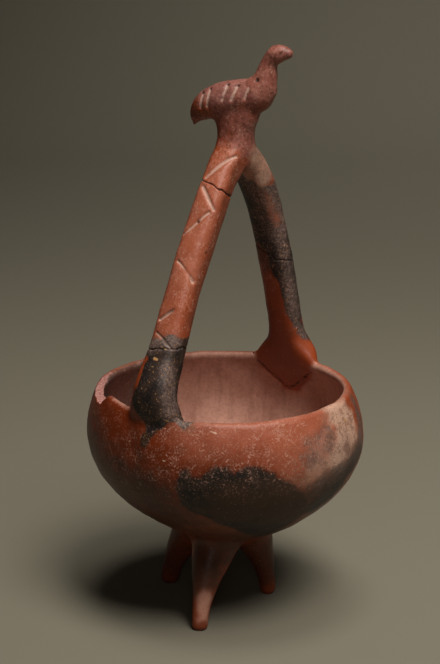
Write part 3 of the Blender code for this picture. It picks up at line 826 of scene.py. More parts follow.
# %% [markdown]
# ## Finer faces where the marks are
#
# A groove a millimetre wide needs points closer than that, and the smooth wall doesn't. A Subdivision
# modifier would cut every face alike, so here only the faces near a mark are cut in four, and cut again
# close to it. The larger scratches are colour only, but colour that is kept at the points needs them too.
# Then all points move onto the marked formula.

# %% The larger scratches and specks
# paint, half width in mm and the line or the place in mm of the larger scratches and specks of the coat
NICKS = (
    ("pale", 0.4, (-63.8, 51.9, 134.4), (-66.0, 50.3, 132.1)),
    ("pale", 0.5, (-73.6, 34.8, 138.1)),
    ("faint", 0.5, (-74.9, 35.0, 135.4), (-75.5, 34.4, 131.0)),
    ("faint", 0.4, (-76.5, 33.6, 129.0), (-78.5, 31.2, 122.7), (-79.6, 29.2, 119.0), (-80.6, 26.9, 114.7)),
    ("faint", 0.4, (-82.6, 8.2, 130.1), (-82.7, 5.0, 134.5)),
    ("faint", 0.4, (-84.4, 9.1, 119.0), (-84.6, 4.8, 118.0)),
    ("faint", 0.4, (-83.6, -14.8, 114.2), (-83.4, -14.7, 111.8)),
    ("cream", 0.45, (-79.3, -26.5, 126.1), (-77.9, -30.4, 125.7)),
    ("cream", 0.8, (-70.6, -36.2, 138.1), (-69.5, -39.3, 137.2)),
    ("cream", 0.5, (-83.8, -12.0, 119.7), (-83.6, -13.3, 119.4)),
    ("pale", 0.5, (-80.6, -26.3, 118.4)),
    ("pale", 0.5, (-80.4, -26.9, 116.8)),
    ("pale", 0.4, (-70.1, -46.7, 121.4), (-69.2, -47.7, 123.0)),
    ("pale", 0.45, (-80.6, -11.3, 138.2), (-79.5, -12.7, 138.1)),
    ("dark", 0.6, (-83.9, -2.9, 125.0), (-83.8, -5.0, 124.6)),
    ("dark", 0.6, (-83.7, -6.5, 125.6), (-83.6, -7.7, 124.9)),
    ("ochre", 0.6, (-84.4, -6.4, 111.0)),
    ("ochre", 0.5, (-82.1, -11.0, 143.7), (-80.1, -13.2, 142.6)),
    ("ochre", 1.0, (-73.4, 0.8, 176.6), (-73.5, -1.2, 176.2)),
    ("ochre", 0.5, (-75.0, -4.2, 173.3), (-74.8, -7.6, 171.4)),
    ("ochre", 0.5, (-67.7, -11.1, 170.0)),
    ("ochre", 0.7, (-78.8, 2.2, 167.7)),
    ("ochre", 0.6, (-83.5, 3.4, 155.5)),
    ("ochre", 0.5, (-84.0, 4.5, 152.4)),
    ("ochre", 0.4, (-81.8, -8.0, 157.2), (-81.8, -9.2, 157.0)),
    ("ochre", 0.35, (-69.7, -2.7, 182.9), (-69.6, -6.2, 181.3), (-69.1, -8.2, 179.7)),
    ("ochre", 1.2, (6.9, -80.8, 132.0)),
    ("pale", 0.9, (51.4, -9.8, 221.1)),
    ("pale", 0.6, (49.2, -8.6, 216.4)),
    ("pale", 0.6, (55.4, -8.2, 195.8)),
    ("pale", 0.8, (61.6, -9.6, 186.6)),
    ("pale", 0.6, (62.6, -9.5, 178.3)),
    ("pale", 0.7, (66.7, -9.6, 170.6)),
    ("pale", 0.6, (66.9, -10.0, 164.3)),
)
print(len(NICKS), "scratches and specks large enough to have their own places")

# %% Cut the faces near the marks and press the marks in
def from_nick(points, line):
    """The distance from a scratch, or from a speck, which is given as one place."""
    return distance_from(points, np.array(line if len(line) > 1 else line * 2) * MM)


def mark_nearness(points):
    """The distance from the nearest groove, crack, pit, nick or broken edge."""
    near = np.full(len(points), FAR)
    for d, _, _ in (*groove_distances(points), *crack_distances(points)):
        near = np.minimum(near, d)
    for place, _, _ in PITS:
        near = np.minimum(near, np.linalg.norm(points - np.array(place) * MM, axis=1))
    for _, _, *line in NICKS:
        near = np.minimum(near, from_nick(points, line) + 1.0 * MM)
    return np.minimum(near, np.abs(break_depth(points)) + 1.2 * MM)


def refine(mesh, reach):
    """Cuts each face with a corner nearer than the reach to a mark in four."""
    close = mark_nearness(coordinates(mesh)) < reach
    shape = bmesh.new()
    shape.from_mesh(mesh)
    shape.verts.ensure_lookup_table()
    edges = {e for v in shape.verts if close[v.index] for f in v.link_faces for e in f.edges}
    bmesh.ops.subdivide_edges(shape, edges=list(edges), cuts=1, use_grid_fill=True)
    bmesh.ops.triangulate(shape, faces=[f for f in shape.faces if len(f.verts) > 4])
    shape.to_mesh(mesh)
    shape.free()


for reach in (2.6 * MM, 1.5 * MM):
    refine(skin, reach)
    pull(skin, vessel_distance, 2)
left_over = pull(skin, marked_distance, 5)
skin.calc_loop_triangles()
print("marked:", len(skin.loop_triangles), "triangles")
print("the largest distance left is", round(1000 * left_over, 2), "mm")

# %% [markdown]
# ## Where each colour lies
#
# The coat fired red where air reached it and black where fuel lay against it. Handling and burial wore it
# to pink and cream. Those places belong to this one vessel, and a Voronoi or noise pattern can't put them
# there. So they are painted like stains: each has a line, a radius and a colour, and its edge wanders by a
# slow noise. Three black patches have a shape that no line gives, so their outlines are walked round instead.
# The shader later frays all edges finely.
# The shader later frays all edges finely. Several stains hold painted shade: on the bowl's left side and
# lower parts and along the bird's lower body together with the clay's own darker colour, and alone on the
# lower right of the bowl, the feet, the far leg's inner face and inside under the far root. Painted
# highlights lie along the lip, on the front foot's tip and on the bird's neck, and the grey on the left
# root's right side is partly one.

# %% The colours and the places of the stains
PAINTS = {
    "red": (0.255, 0.044, 0.011),
    "deep red": (0.170, 0.030, 0.009),
    "pink": (0.380, 0.115, 0.064),
    "pale": (0.520, 0.270, 0.200),
    "cream": (0.560, 0.345, 0.250),
    "brown": (0.130, 0.040, 0.018),
    "dark": (0.060, 0.022, 0.012),
    "orange": (0.150, 0.020, 0.002),
    "ochre": (0.420, 0.220, 0.080),
    "faint": (0.300, 0.110, 0.060),
    "rose": (0.245, 0.090, 0.074),
    "inside": (0.440, 0.225, 0.165),
    "grey": (0.095, 0.058, 0.047),
    "rust": (0.250, 0.090, 0.045),
    "soiled": (0.085, 0.062, 0.052),
    "soot": (0.011, 0.008, 0.007),
    "brown soot": (0.036, 0.019, 0.013),
    "thin soot": (0.080, 0.052, 0.042),
    "scorched": (0.052, 0.024, 0.012),
    "ash_and_highlight": (0.180, 0.120, 0.102),
    "speck": (0.550, 0.360, 0.250),
    "chalk": (0.550, 0.370, 0.300),
    "broken": (0.400, 0.190, 0.165),
    "broken dark": (0.250, 0.100, 0.085),
    "gap": (0.012, 0.007, 0.005),
}
# paint, strength, radius in mm, then the points of the stain's line in mm
STAINS = (
    # partly the coat's own deep orange, partly painted shade on the bowl's left side, which turns from the
    # light
    ("orange", 0.95, 50, (-60, 60, 125), (-84, 10, 122), (-80, -10, 112)),
    ("orange", 0.7, 16, (-72, -40, 118), (-40, -74, 116)),
    # partly the clay's own darker colour, partly painted shade on the lower bowl and its underside
    ("brown", 0.9, 45, (-60, 10, 75), (-20, -55, 70)),
    ("dark", 0.95, 42, (-60, 52, 88), (-72, 8, 84)),
    ("dark", 0.8, 22, (-44, -20, 56), (-10, -40, 52)),
    ("pink", 0.45, 24, (-76, -30, 138), (-50, -62, 138), (-20, -78, 138)),
    ("pink", 0.5, 22, (-40, -72, 122), (-20, -82, 128)),
    ("pink", 0.6, 30, (-24, -80, 112), (-8, -84, 126)),
    ("pale", 0.4, 15, (-20, -80, 119), (-8, -84, 122)),
    ("cream", 0.95, 19, (4, -82, 138), (6, -85, 120), (-2, -84, 112)),
    ("cream", 0.5, 13, (-26, -80, 106), (-12, -84, 106)),
    ("brown", 0.8, 14, (-34, -76, 92), (-16, -82, 92)),
    # painted shade on the lower right of the bowl, where it turns under
    ("dark", 0.8, 11, (-14, -82, 98), (2, -83, 101), (16, -82, 108)),
    ("pink", 0.7, 16, (-9, -6, 283), (-25, 0, 258), (-45, 0, 222)),
    ("pink", 0.55, 14, (-45, 0, 222), (-62, 0, 192)),
    ("deep red", 0.8, 7, (0, -12, 280), (-30, -12, 233), (-50, -12, 196)),
    ("brown", 0.6, 5, (-4, -12, 276), (-30, -13, 233), (-50, -13, 196)),
    ("rose", 0.75, 22, (11, -14, 298), (11, 0, 312)),
    ("rose", 0.95, 24, (8, 15, 328), (12, -14, 332)),
    # partly the clay's own deeper red, partly painted shade along the bird's lower body and tail
    ("deep red", 0.7, 10, (5, 27, 306), (10, 6, 309), (14, -18, 312)),
    ("deep red", 0.6, 9, (4, 30, 312), (6, 20, 312)),
    ("rose", 0.9, 16, (12, -20, 336), (14, -34, 346)),
    # painted highlight: a lighter side of the bird's neck
    ("pink", 0.3, 10, (12, -17, 326), (13, -26, 342)),
    ("cream", 0.85, 12, (19, -9, 281), (27, -9, 269)),
    ("grey", 0.35, 9, (30, -9, 266), (42, -11, 250)),
    # painted shade on the far leg's inner face, which faces down and away from the light
    ("dark", 0.8, 10, (26, 2, 262), (42, 2, 230), (50, 0, 204)),
    ("pink", 0.7, 6, (34, -10, 251), (43, -10, 236)),
    ("red", 0.9, 10, (53, 0, 196), (64, -2, 160)),
    ("deep red", 0.8, 16, (64, 4, 168), (70, 0, 148)),
    # painted shade on the feet, under the bowl
    ("brown", 0.8, 13, (-40, -10, 32), (-30, -6, 44)),
    ("dark", 0.85, 20, (22, -16, 20), (14, -12, 40)),
    ("dark", 0.85, 22, (6, 44, 20), (4, 30, 42)),
    ("dark", 0.95, 16, (-42, -10, 32), (-36, -12, 48)),
    # painted highlight on the front foot's tip
    ("pale", 0.75, 8, (-49, -17, 8), (-47, -17, 22)),
    ("deep red", 0.9, 5, (-48, -15, 0), (-48, -15, 4)),
    # painted highlight along the lip between the break and the left root
    ("pale", 0.6, 2.5, (-70, 32, 146.5), (-74, 23, 146), (-78, 15, 145)),
)
# strength, radius and line of the black clouds that no outline is drawn for
CLOUDS = (
    (0.50, 14, (-27, -80, 119), (-16, -83, 127)),
    (0.42, 16, (-20, -82, 112), (0, -85, 116)),
    (0.66, 10, (32, -79, 136), (30, -79, 124), (24, -82, 112)),
    (0.80, 10, (24, -82, 108), (8, -84, 102), (-2, -82, 96)),
    (0.62, 15, (-8, -84, 100), (-24, -79, 92)),
    (0.75, 13, (-16, -78, 84), (-26, -70, 74)),
    (0.90, 12, (0, -82, 94), (-14, -74, 82)),
    (0.6, 30, (60, 40, 80), (40, 60, 70)),
)
# heading in degrees and height in mm round the black cloud in front, the radius it is unrolled at, and a
# height below which only the bare wall is inside the bowl
UNROLL, BELOW_PADS = 80 * MM, 105 * MM
FIRE_CLOUD = (
    (-166, 110), (-164, 115), (-162, 116), (-160, 113), (-157, 112), (-153, 117), (-150, 119), (-146, 118),
    (-143, 115), (-139, 118), (-135, 118), (-131, 116), (-127, 114), (-124, 109), (-120, 106), (-117, 101),
    (-113, 97), (-109, 92), (-106, 82), (-108, 72), (-113, 62), (-120, 57), (-130, 60), (-138, 67),
    (-147, 75), (-156, 82), (-164, 88), (-166, 95), (-167, 103),
)
# outlines in y and z, in mm, of the soot on the left root and on the right leg
ROOT_SOOT = (
    (-30, 186), (-9.3, 187.2), (-6.9, 189.8), (-3.5, 190.2), (-1.1, 188), (0.5, 187), (2.5, 187.8),
    (5, 186), (20, 185), (20, 178), (5.2, 176.7), (5.5, 173.7), (6.8, 169.2), (7.0, 164), (8.1, 158.7),
    (10.6, 153.6), (10.3, 148.8), (6.9, 144.6), (2.9, 140.3), (0.4, 135.8), (2.8, 132.2), (3.4, 129.1),
    (2.6, 126.4), (0, 125.7), (-3.1, 128.5), (-4.9, 132.3), (-6.9, 135.7), (-9.9, 138.5), (-12.2, 141.1),
    (-14.2, 141.8), (-16.7, 141.2), (-19.9, 138.9), (-22.2, 137.8), (-24.4, 139.4), (-25.5, 143), (-32, 146),
)
LEG_SOOT = (
    (-30, 272), (-13, 271), (-10, 263), (-8, 262), (-6, 268), (-2, 266), (0, 272), (6, 274), (20, 270),
    (20, 224), (4.8, 222.6), (0.7, 218.6), (-0.9, 207.8), (-2, 200.9),
    (-5.3, 195.7), (-5.9, 189.3), (-6.8, 181.4), (-7.8, 173.4), (-9.1, 166.1), (-11.2, 158), (-14.3, 154.6),
    (-30, 152),
)
# strength, radius and line of places where the soot is worn away, and of those where it is only ash grey,
# which on the left root's right side is partly a painted highlight
WORN_SOOT = (
    (0.4, 5, (28, -8, 259), (34.7, -8.3, 249.9), (39, -8.5, 242.3), (42.3, -9.3, 238)),
    (0.3, 7, (35, -12, 255), (46, -12, 238)),
)
ASHEN_AND_HIGHLIGHT = (
    # the left root's right side: partly worn ash grey, partly a painted highlight
    (0.7, 8, (-74, -10, 172), (-77, -12, 158), (-77, -13.7, 150), (-79, -14, 146)),
    (1.0, 7, (-66, -10, 186), (-68, -2, 186), (-70, 8, 184)),
    (0.8, 6, (-76, -20, 139), (-75, -24, 140)),
    (0.8, 14, (20, -10, 272), (34, -12, 255), (48, -12, 232)),
    (0.9, 26, (-22, -80, 112), (0, -83, 124), (18, -80, 126)),
    (1.0, 11, (46, -16, 232), (52, -16, 210), (68, -16, 162)),
)
print(len(PAINTS), "paints,", len(STAINS), "stains and", len(CLOUDS) + 3, "black clouds")

# %% Paint the stains onto the points
def stain(radius, line, start=0.0, stop=0.55):
    """How strong a stain is at each point. Its nearness is 1 on the line and 0 at the radius, plus the
    roughness of its edge, and it grows from none at start to all at stop."""
    path = np.array(line, float) * MM
    near = ((points > path.min(0) - 2 * radius * MM) & (points < path.max(0) + 2 * radius * MM)).all(1)
    value = np.full(len(points), -1.0)
    value[near] = 1 - distance_from(points[near], path) / (radius * MM) + rough[near]
    return smoothstep(start, stop, value)


def in_outline(places, outline):
    """The distance from a closed outline, above 0 inside it. A point is inside when a level line from it
    crosses the outline an odd number of times."""
    closed = np.vstack([outline, outline[:1]])
    away = distance_from(places, closed)
    odd = np.zeros(len(places), bool)
    for (x0, y0), (x1, y1) in zip(closed[:-1], closed[1:]):
        spans = (y0 > places[:, 1]) != (y1 > places[:, 1])
        odd ^= spans & (places[:, 0] < x0 + (places[:, 1] - y0) * (x1 - x0) / (y1 - y0 if y1 != y0 else 1))
    return np.where(odd, away, -away)


points = coordinates(skin)
upright = lean(points, -1)
heading = np.degrees(np.arctan2(upright[:, 1], upright[:, 0]))
whole, side = bowl_distance(points)
rough = 0.10 * waves(points, 0.014, 5) + 0.07 * waves(points, 0.006, 6)
on_wall = np.maximum(smoothstep(1.5 * MM, 0.2 * MM, whole), points[:, 2] < BELOW_PADS)
within = smoothstep(0.5 * MM, -0.5 * MM, side) * on_wall

tone = np.array(PAINTS["red"]) + np.zeros((len(points), 3))
layers = [(paint, strength * stain(radius, line)) for paint, strength, radius, *line in STAINS]
layers += [
    ("inside", within),
    ("grey", within * 0.95 * stain(36, ((-60, 50, 125), (-30, 70, 125), (8, 76, 118)), stop=0.4)),
    ("pale", within * 0.5 * stain(30, ((70, 34, 98), (79, 0, 106), (74, -28, 118)), stop=0.8)),
    # painted shadow of the rim and the far leg on the inside under the far root
    ("deep red", 0.6 * stain(18, ((66, 10, 146), (72, 0, 136)), stop=0.4)),
    # painted highlight along the top of the lip
    ("pale", 0.35 * smoothstep(2.2 * MM, 0.5 * MM, RIM_Z - upright[:, 2]) * (whole < 0.8 * MM)),
]
for paint, share in layers:
    tone += (np.array(PAINTS[paint]) - tone) * share[:, None]

cloud, ashen_and_highlight = np.zeros(len(points)), np.zeros(len(points))
for strength, radius, *line in CLOUDS:
    cloud = np.maximum(cloud, strength * stain(radius, line, -0.25, 0.6))
for outline, near in ((ROOT_SOOT, points[:, 0] < -0.04), (LEG_SOOT, points[:, 0] > 0.015)):
    edge = in_outline(points[:, 1:], np.array(outline, float) * MM) + 4 * rough * MM
    cloud = np.maximum(cloud, smoothstep(-1.2 * MM, 1.2 * MM, edge) * near)
for strength, radius, *line in ASHEN_AND_HIGHLIGHT:
    ashen_and_highlight = np.maximum(ashen_and_highlight, strength * stain(radius, line, -0.1, 0.7))
for strength, radius, *line in WORN_SOOT:
    cloud *= 1 - strength * stain(radius, line, -0.1, 0.6)
unrolled = np.column_stack([heading * math.radians(1) * UNROLL, upright[:, 2]])
edge = in_outline(unrolled, np.array(FIRE_CLOUD) * (math.radians(1) * UNROLL, MM)) + 6 * rough * MM
cloud = np.maximum(cloud, smoothstep(-4.5 * MM, 4 * MM, edge) * (side > 0) * (heading < -90))
cloud *= 1 - within
scorched = np.maximum(
    stain(24, ((-66, -48, 92), (-46, -66, 94), (-34, -68, 88)), stop=0.7),
    stain(6, ((-82.8, 0, 131), (-83.5, 0, 127)), stop=0.5),
)
scratched = stain(32, ((-84, -10, 122), (-62, -58, 124), (-30, -78, 124)), stop=0.7)
scratched += 0.5 * stain(34, ((-78, 30, 118), (-60, 55, 120)), stop=0.6) + 0.7 * (points[:, 2] > 0.19)
print("black and inside:", [round(100 * part.mean()) for part in (cloud > 0.5, within)], "% of the points")

# %% [markdown]
# ## Where the marks are, for the colour
#
# Pale dust sits in the pressed grooves, darkness in the cracks and pits, and the flake shows the clay's raw
# pink core. The shader can't know where those are unless each point carries a number for each of them. They
# come from the same distances that shaped the marks, so colour and form can't drift apart.

# %% Measure the marks at the points and keep all values
def write(mesh, name, values):
    """Keeps one number, or one colour, for each point."""
    colour = values.ndim == 2
    layer = mesh.attributes.new(name, "FLOAT_COLOR" if colour else "FLOAT", "POINT")
    if colour:
        values = np.column_stack([values, np.ones(len(values))])
    layer.data.foreach_set("color" if colour else "value", values.astype(np.float32).ravel())


pressed, cracked, nicked = (np.zeros(len(points)) for _ in range(3))
for d, wide, deep in groove_distances(points):
    pressed = np.maximum(pressed, np.exp(-((d / wide) ** 2)) * deep / MM)
for d, wide, _ in crack_distances(points):
    cracked = np.maximum(cracked, np.exp(-((d / (1.1 * wide)) ** 2)))
for place, wide, _ in PITS:
    d = np.linalg.norm(points - np.array(place) * MM, axis=1)
    cracked = np.maximum(cracked, 0.95 * np.exp(-((d / (1.6 * wide * MM)) ** 2)))
broken = smoothstep(-0.1 * MM, -0.5 * MM, vessel_distance(points))
broken *= smoothstep(-1 * MM, -0.3 * MM, break_depth(points))
nick_tone = np.zeros((len(points), 3))
for paint, wide, *line in NICKS:
    share = np.exp(-((from_nick(points, line) / (wide * MM)) ** 2))
    nick_tone[share > nicked] = PAINTS[paint]
    nicked = np.maximum(nicked, share)
kept = {
    "tone": tone, "cloud": cloud, "within": within, "pressed": pressed, "cracked": cracked, "broken": broken,
    "scratched": np.clip(scratched, 0, 1), "scorched": scorched, "nicked": nicked, "nick_tone": nick_tone,
    "ashen_and_highlight": ashen_and_highlight,
}
for name, values in kept.items():
    write(skin, name, values)
print("kept at each point:", ", ".join(kept))

# %% [markdown]
# ## Sums in place of nodes
#
# A shader is a sum drawn as boxes. Wrapping a socket in a class that knows + - * lets the sums be written as
# sums, which are easier to read and to change.

# %% A socket that can be used in a sum
class Wire:
    """A value in a shader. Each operator adds the Math node that works it out."""

    def __init__(self, shader, socket):
        self.shader, self.socket = shader, socket

    def math(self, operation, *values):
        return self.shader.add("ShaderNodeMath", {"operation": operation}, dict(enumerate(values)))

    def __add__(self, other):
        return self.math("ADD", self, other)

    def __sub__(self, other):
        return self.math("SUBTRACT", self, other)

    def __rsub__(self, other):
        return self.math("SUBTRACT", other, self)

    def __mul__(self, other):
        return self.math("MULTIPLY", self, other)

    def __abs__(self):
        return self.math("ABSOLUTE", self)

    __radd__, __rmul__ = __add__, __mul__

    def step(self, start, stop):
        """0 before start and 1 after stop, with a soft ramp between them, or the other way round."""
        low, high, flip = (start, stop, False) if start < stop else (stop, start, True)
        settings = {"interpolation_type": "SMOOTHSTEP"}
        ramp = self.shader.add("ShaderNodeMapRange", settings, {0: self, 1: low, 2: high})
        return 1 - ramp if flip else ramp


class Shader:
    """The node tree of one material."""

    def __init__(self, name):
        self.material = bpy.data.materials.new(name)
        self.material.use_nodes = True
        self.tree = self.material.node_tree
        self.surface = self.tree.nodes["Principled BSDF"]

    def add(self, kind, settings, values, output=0):
        """A node of a kind, its settings first, then its inputs: a number, a colour or another wire."""
        node = self.tree.nodes.new(kind)
        for name, value in settings.items():
            setattr(node, name, value)
        self.fill(node, values)
        return Wire(self, node.outputs[output])

    def fill(self, node, values):
        for name, value in values.items():
            if isinstance(value, Wire):
                self.tree.links.new(value.socket, node.inputs[name])
            else:
                node.inputs[name].default_value = value

    def attribute(self, name, output="Fac"):
        return self.add("ShaderNodeAttribute", {"attribute_name": name}, {}, output)

    def noise(self, place, size, detail=2, rough=0.5, distortion=0.0):
        """Noise with lumps of a size in metres, about 0 to 1."""
        values = {"Scale": 1 / size, "Detail": detail, "Roughness": rough, "Distortion": distortion}
        return self.add("ShaderNodeTexNoise", {}, {"Vector": place, **values})

    def specks(self, place, size, radius, share):
        """1 in the middle of the cells of a Voronoi pattern out to the radius, in the share of them given."""
        away = self.add("ShaderNodeTexVoronoi", {}, {"Vector": place, "Scale": 1 / size}, "Distance")
        tint = Wire(self, away.socket.node.outputs["Color"])
        chance = self.add("ShaderNodeSeparateColor", {}, {0: tint})
        return away.step(radius / size, 0.4 * radius / size) * chance.step(share + 0.01, share - 0.01)

    def mix(self, share, a, b):
        """a where the share is 0 and b where it is 1. A colour is a wire or the name of a paint."""
        colours = {k: v if isinstance(v, Wire) else (*PAINTS[v], 1) for k, v in {6: a, 7: b}.items()}
        return self.add("ShaderNodeMix", {"data_type": "RGBA"}, {0: share, **colours}, 2)

    def stretched(self, place, factors):
        return self.add("ShaderNodeVectorMath", {"operation": "MULTIPLY"}, {0: place, 1: factors})


print("a Wire knows", len([name for name in vars(Wire) if name.startswith("__")]), "operators")

# %% [markdown]
# ## Burnished clay
#
# A pebble rubbed the leather-hard coat until its clay plates lay flat, which gives a soft sheen with fine
# streaks. The coat was never one red: iron and air varied from one hand's breadth to the next. The colour
# at the points gives the large patches, and noise of several sizes breaks them up, because no mesh is fine
# enough to carry such specks itself.

# %% The red coat, the bird's worn clay and the inside
clay = Shader("burnished_red_clay")
place = clay.add("ShaderNodeTexCoord", {}, {}, "Object")
patches, lumps = clay.noise(place, 0.022, 3), clay.noise(place, 0.008, 3)
grain, dust = clay.noise(place, 0.0022, 3, 0.6), clay.noise(place, 0.0007, 1)
fine = clay.noise(place, 0.0013, 3, 0.65, 0.5)
within, scratched, ashen_and_highlight = (clay.attribute(name) for name in ("within", "scratched", "ashen_and_highlight"))
pressed, cracked, broken = (clay.attribute(name) for name in ("pressed", "cracked", "broken"))
height_above = clay.add("ShaderNodeSeparateXYZ", {}, {0: place}, "Z")
modelled = height_above.step(0.265, 0.30)

colour = clay.attribute("tone", "Color")
colour = clay.mix(patches.step(0.45, 0.7) * 0.5, colour, clay.mix(0.5, colour, "deep red"))
worn = (fine + (lumps - 0.5) * 0.6).step(0.54, 0.7)
colour = clay.mix(worn * (0.05 + 0.2 * scratched), colour, clay.mix(0.7, colour, "pale"))
worms = abs(clay.noise(place, 0.0040, 1, 0.5, 1.6) - 0.5).step(0.05, 0.02)
worms = worms * (grain + lumps * 0.6).step(0.80, 0.92)
colour = clay.mix(worms * scratched * 0.42, colour, "pale")
mottled = ashen_and_highlight * (fine * 0.6 + lumps * 0.4).step(0.49, 0.56)
colour = clay.mix(mottled * 0.6, colour, "soiled")
rusty = ashen_and_highlight * (lumps * 0.6 + grain * 0.4).step(0.50, 0.58)
colour = clay.mix(rusty * 0.5, colour, "rust")
colour = clay.mix(grain.step(0.48, 0.36) * modelled * 0.5, colour, "dark")
colour = clay.mix(grain.step(0.55, 0.35) * 0.3, colour, clay.mix(0.6, colour, "brown"))
streaks = clay.noise(clay.stretched(place, (1, 1, 0.12)), 0.006, 2).step(0.45, 0.7) * within
colour = clay.mix(streaks * 0.25, colour, "brown")
colour = clay.mix(grain.step(0.55, 0.7) * within * 0.3, colour, "pale")
print("the coat takes", len(clay.tree.nodes), "nodes")

# %% [markdown]
# ## Soot, scratches and dust
#
# Soot went into the clay in the fire, so it is a colour and not a coat of paint. Its clouds are stronger than
# the noise that frays their edges, so the fray shows only along them. Burial broke the sheen with hair-fine
# scratches and pale specks. A hair is where a noise passes through its middle value, which gives thin lines
# without drawing any.

# %% The black clouds and all that lies over them
frayed = clay.attribute("cloud") + (lumps - 0.5) * 0.3 + (grain - 0.5) * 0.6 + (dust - 0.5) * 0.5
soot = frayed.step(0.24, 0.84)
black = clay.mix(lumps.step(0.35, 0.65), "soot", "brown soot")
black = clay.mix(fine.step(0.5, 0.66) * 0.5, black, "thin soot")
# ash grey over the soot, which on the left root's right side is partly a painted highlight
ash_and_highlight = ashen_and_highlight * (0.35 + 0.65 * fine.step(0.42, 0.6)) + worn * scratched * 0.3
black = clay.mix(ash_and_highlight, black, "ash_and_highlight")
black = clay.mix(clay.attribute("scorched") * 0.8, black, "scorched")
colour = clay.mix(soot, colour, black)

hair = abs(clay.noise(place, 0.0020, 0, distortion=0.8) - 0.5).step(0.06, 0.02)
strokes = hair * clay.noise(place, 0.0013, 0).step(0.5, 0.6) * lumps.step(0.3, 0.6)
colour = clay.mix(strokes * scratched * 0.62, colour, "pale")
pale_specks = clay.specks(place, 0.0017, 0.0004, 0.3) * dust.step(0.35, 0.6) * (1 - within * 0.6)
colour = clay.mix(pale_specks * 0.5, colour, "speck")
ochre_specks = clay.specks(place, 0.0016, 0.0005, 0.5) * soot
ochre_specks = ochre_specks * height_above.step(0.128, 0.135) * lumps.step(0.35, 0.6)
colour = clay.mix(ochre_specks * 0.7, colour, "ochre")
colour = clay.mix(clay.specks(place, 0.0043, 0.0005, 0.2) * 0.7, colour, "dark")

chalk = pressed.step(0.35, 0.8) * (grain + lumps).step(0.6, 0.95)
colour = clay.mix(chalk * (0.62 - soot * 0.35), colour, "chalk")
colour = clay.mix(clay.attribute("nicked").step(0.35, 0.7), colour, clay.attribute("nick_tone", "Color"))
colour = clay.mix(broken, colour, clay.mix(fine.step(0.4, 0.62), "broken", "broken dark"))
colour = clay.mix(cracked.step(0.4, 0.85) * 0.92, colour, "gap")
print("with soot and scratches it takes", len(clay.tree.nodes))

# %% [markdown]
# ## Sheen and touch
#
# The burnished outside gives back a blurred light, the inside and the broken edge nearly none. Grains and
# scratches are tenths of a millimetre deep, too fine for the mesh, so a bump tilts the light on them.

# %% Roughness, bump and the finished vessel
sheen = 0.33 + fine * 0.2 + within * 0.22 + broken * 0.3 + strokes * 0.2 + soot * 0.08
height = grain * (0.5 + modelled) + fine * 0.6 + lumps * modelled * 3 - (strokes + worms) * scratched * 0.3
height = height + broken * grain * 2
bump = clay.add("ShaderNodeBump", {}, {"Height": height, "Distance": 0.0003, "Strength": 0.7})
finish = {"Base Color": colour, "Roughness": sheen, "Normal": bump, "Specular IOR Level": 0.32}
clay.fill(clay.surface, finish)
skin.materials.append(clay.material)

vessel = bpy.data.objects.new("bird_handled_tripod_bowl", skin)
bpy.context.scene.collection.objects.link(vessel)
skin.shade_smooth()
print("the clay's shader has", len(clay.tree.nodes), "nodes")

# %% [markdown]
# ## Floor, light and camera
#
# A plain plane would end in a hard horizon behind the bird, so a pale floor curves up into a backdrop. The
# main light, the key, is a wide soft panel high in front of the vessel's right side, so the rim, the
# shoulders of the handle and the bird's back catch it while the undersides and the left side fall into
# shade. A weak panel on the left keeps the shade readable.

# %% Set the stage
def stage_sheet(reach=2.4, bend=0.9, front=7.0, rows=40):
    """A profile along y: flat from the front, then a quarter circle of radius bend, then straight up, drawn
    out along x."""
    turn = np.linspace(0, math.pi / 2, rows)
    rise = bend - bend * np.cos(turn)
    y = np.concatenate([[-front], reach + bend * np.sin(turn) - bend, [reach]])
    z = np.concatenate([[0], rise, [reach * 1.6]])
    x = np.array([-front, front])
    points = np.stack([np.repeat(x, len(y)), np.tile(y, 2), np.tile(z, 2)], 1)
    k = np.arange(len(y) - 1)
    return points, np.stack([k, k + len(y), k + len(y) + 1, k + 1], 1)


VIEW_HEADING = math.radians(-56.5)
sheet = bpy.data.meshes.new("floor")
points, faces = stage_sheet()
sheet.from_pydata(points, [], faces.tolist())
sheet.shade_smooth()
floor = bpy.data.objects.new("floor", sheet)
floor.rotation_euler.z = VIEW_HEADING
bpy.context.scene.collection.objects.link(floor)
paper = bpy.data.materials.new("floor_paper")
paper.use_nodes = True
surface = paper.node_tree.nodes["Principled BSDF"]
surface.inputs["Base Color"].default_value = (0.165, 0.151, 0.112, 1)
surface.inputs["Roughness"].default_value = 0.85
sheet.materials.append(paper)


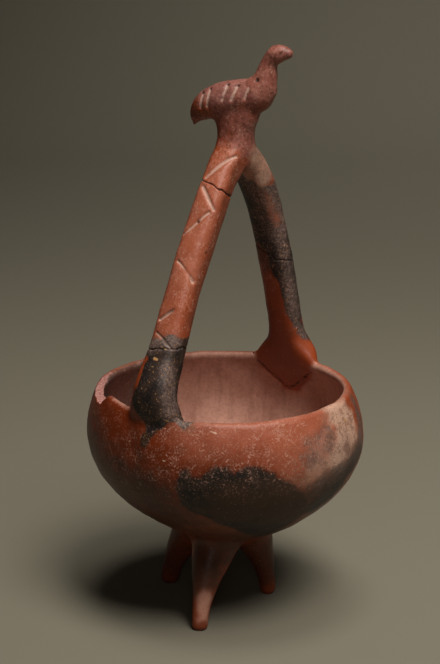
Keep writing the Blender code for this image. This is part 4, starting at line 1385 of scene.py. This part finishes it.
def panel(name, place, target, size, watts, colour):
    """A round area light at a place, turned to a target. Its narrow spread keeps the shade deep."""
    light = bpy.data.lights.new(name, "AREA")
    light.shape, light.size, light.energy, light.color = "DISK", size, watts, colour
    light.spread = math.radians(65)
    lamp = bpy.data.objects.new(name, light)
    lamp.location = place
    lamp.rotation_euler = (Vector(target) - Vector(place)).to_track_quat("-Z", "Y").to_euler()
    bpy.context.scene.collection.objects.link(lamp)


panel("key_panel", (-0.50, -1.20, 2.35), (0.14, -0.21, 0.15), 1.2, 9.6, (1, 0.95, 0.88))
panel("top_panel", (-0.15, -0.25, 2.5), (0.1, -0.15, 0.1), 0.80, 3.3, (1, 0.95, 0.88))
panel("backdrop_panel", (1.3, 0.3, 1.7), (2.0, 0.7, 0), 1.5, 3.0, (1, 0.96, 0.88))
panel("front_panel", (-1.5, -0.9, 0.8), (0, 0, 0.15), 0.7, 0.22, (1, 0.95, 0.9))
sky = bpy.data.worlds.new("room")
sky.use_nodes = True
sky.node_tree.nodes["Background"].inputs["Color"].default_value = (1.0, 0.97, 0.9, 1)
sky.node_tree.nodes["Background"].inputs["Strength"].default_value = 0.025
bpy.context.scene.world = sky

# %% [markdown]
# ## The camera
#
# A camera that sees the vessel as the photograph does stands over a metre away and looks down at it. Its
# place and its tilt were fitted to the rim's ellipse, the widest ring and the feet, all in picture points.

# %% Place the camera
PICTURE_HEIGHT, FOCAL_LENGTH, ABOVE_HORIZON = 664, 2000, 556
lens = bpy.data.cameras.new("camera")
lens.sensor_fit, lens.sensor_width, lens.sensor_height = "VERTICAL", 36, 36
lens.lens = lens.sensor_height * FOCAL_LENGTH / PICTURE_HEIGHT
camera = bpy.data.objects.new("camera", lens)
camera.location = (-0.9790, -0.6441, 0.5014)
camera.rotation_euler = (math.pi / 2 - math.atan(ABOVE_HORIZON / FOCAL_LENGTH), 0, VIEW_HEADING)
bpy.context.scene.collection.objects.link(camera)
bpy.context.scene.camera = camera
bpy.context.scene.view_settings.view_transform = "Standard"
print("camera", [round(part, 3) for part in camera.location], "lens", round(lens.lens, 1), "mm")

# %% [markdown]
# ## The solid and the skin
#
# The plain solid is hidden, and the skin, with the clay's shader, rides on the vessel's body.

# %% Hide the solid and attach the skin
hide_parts("tripod_bowl")
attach(vessel, "root")
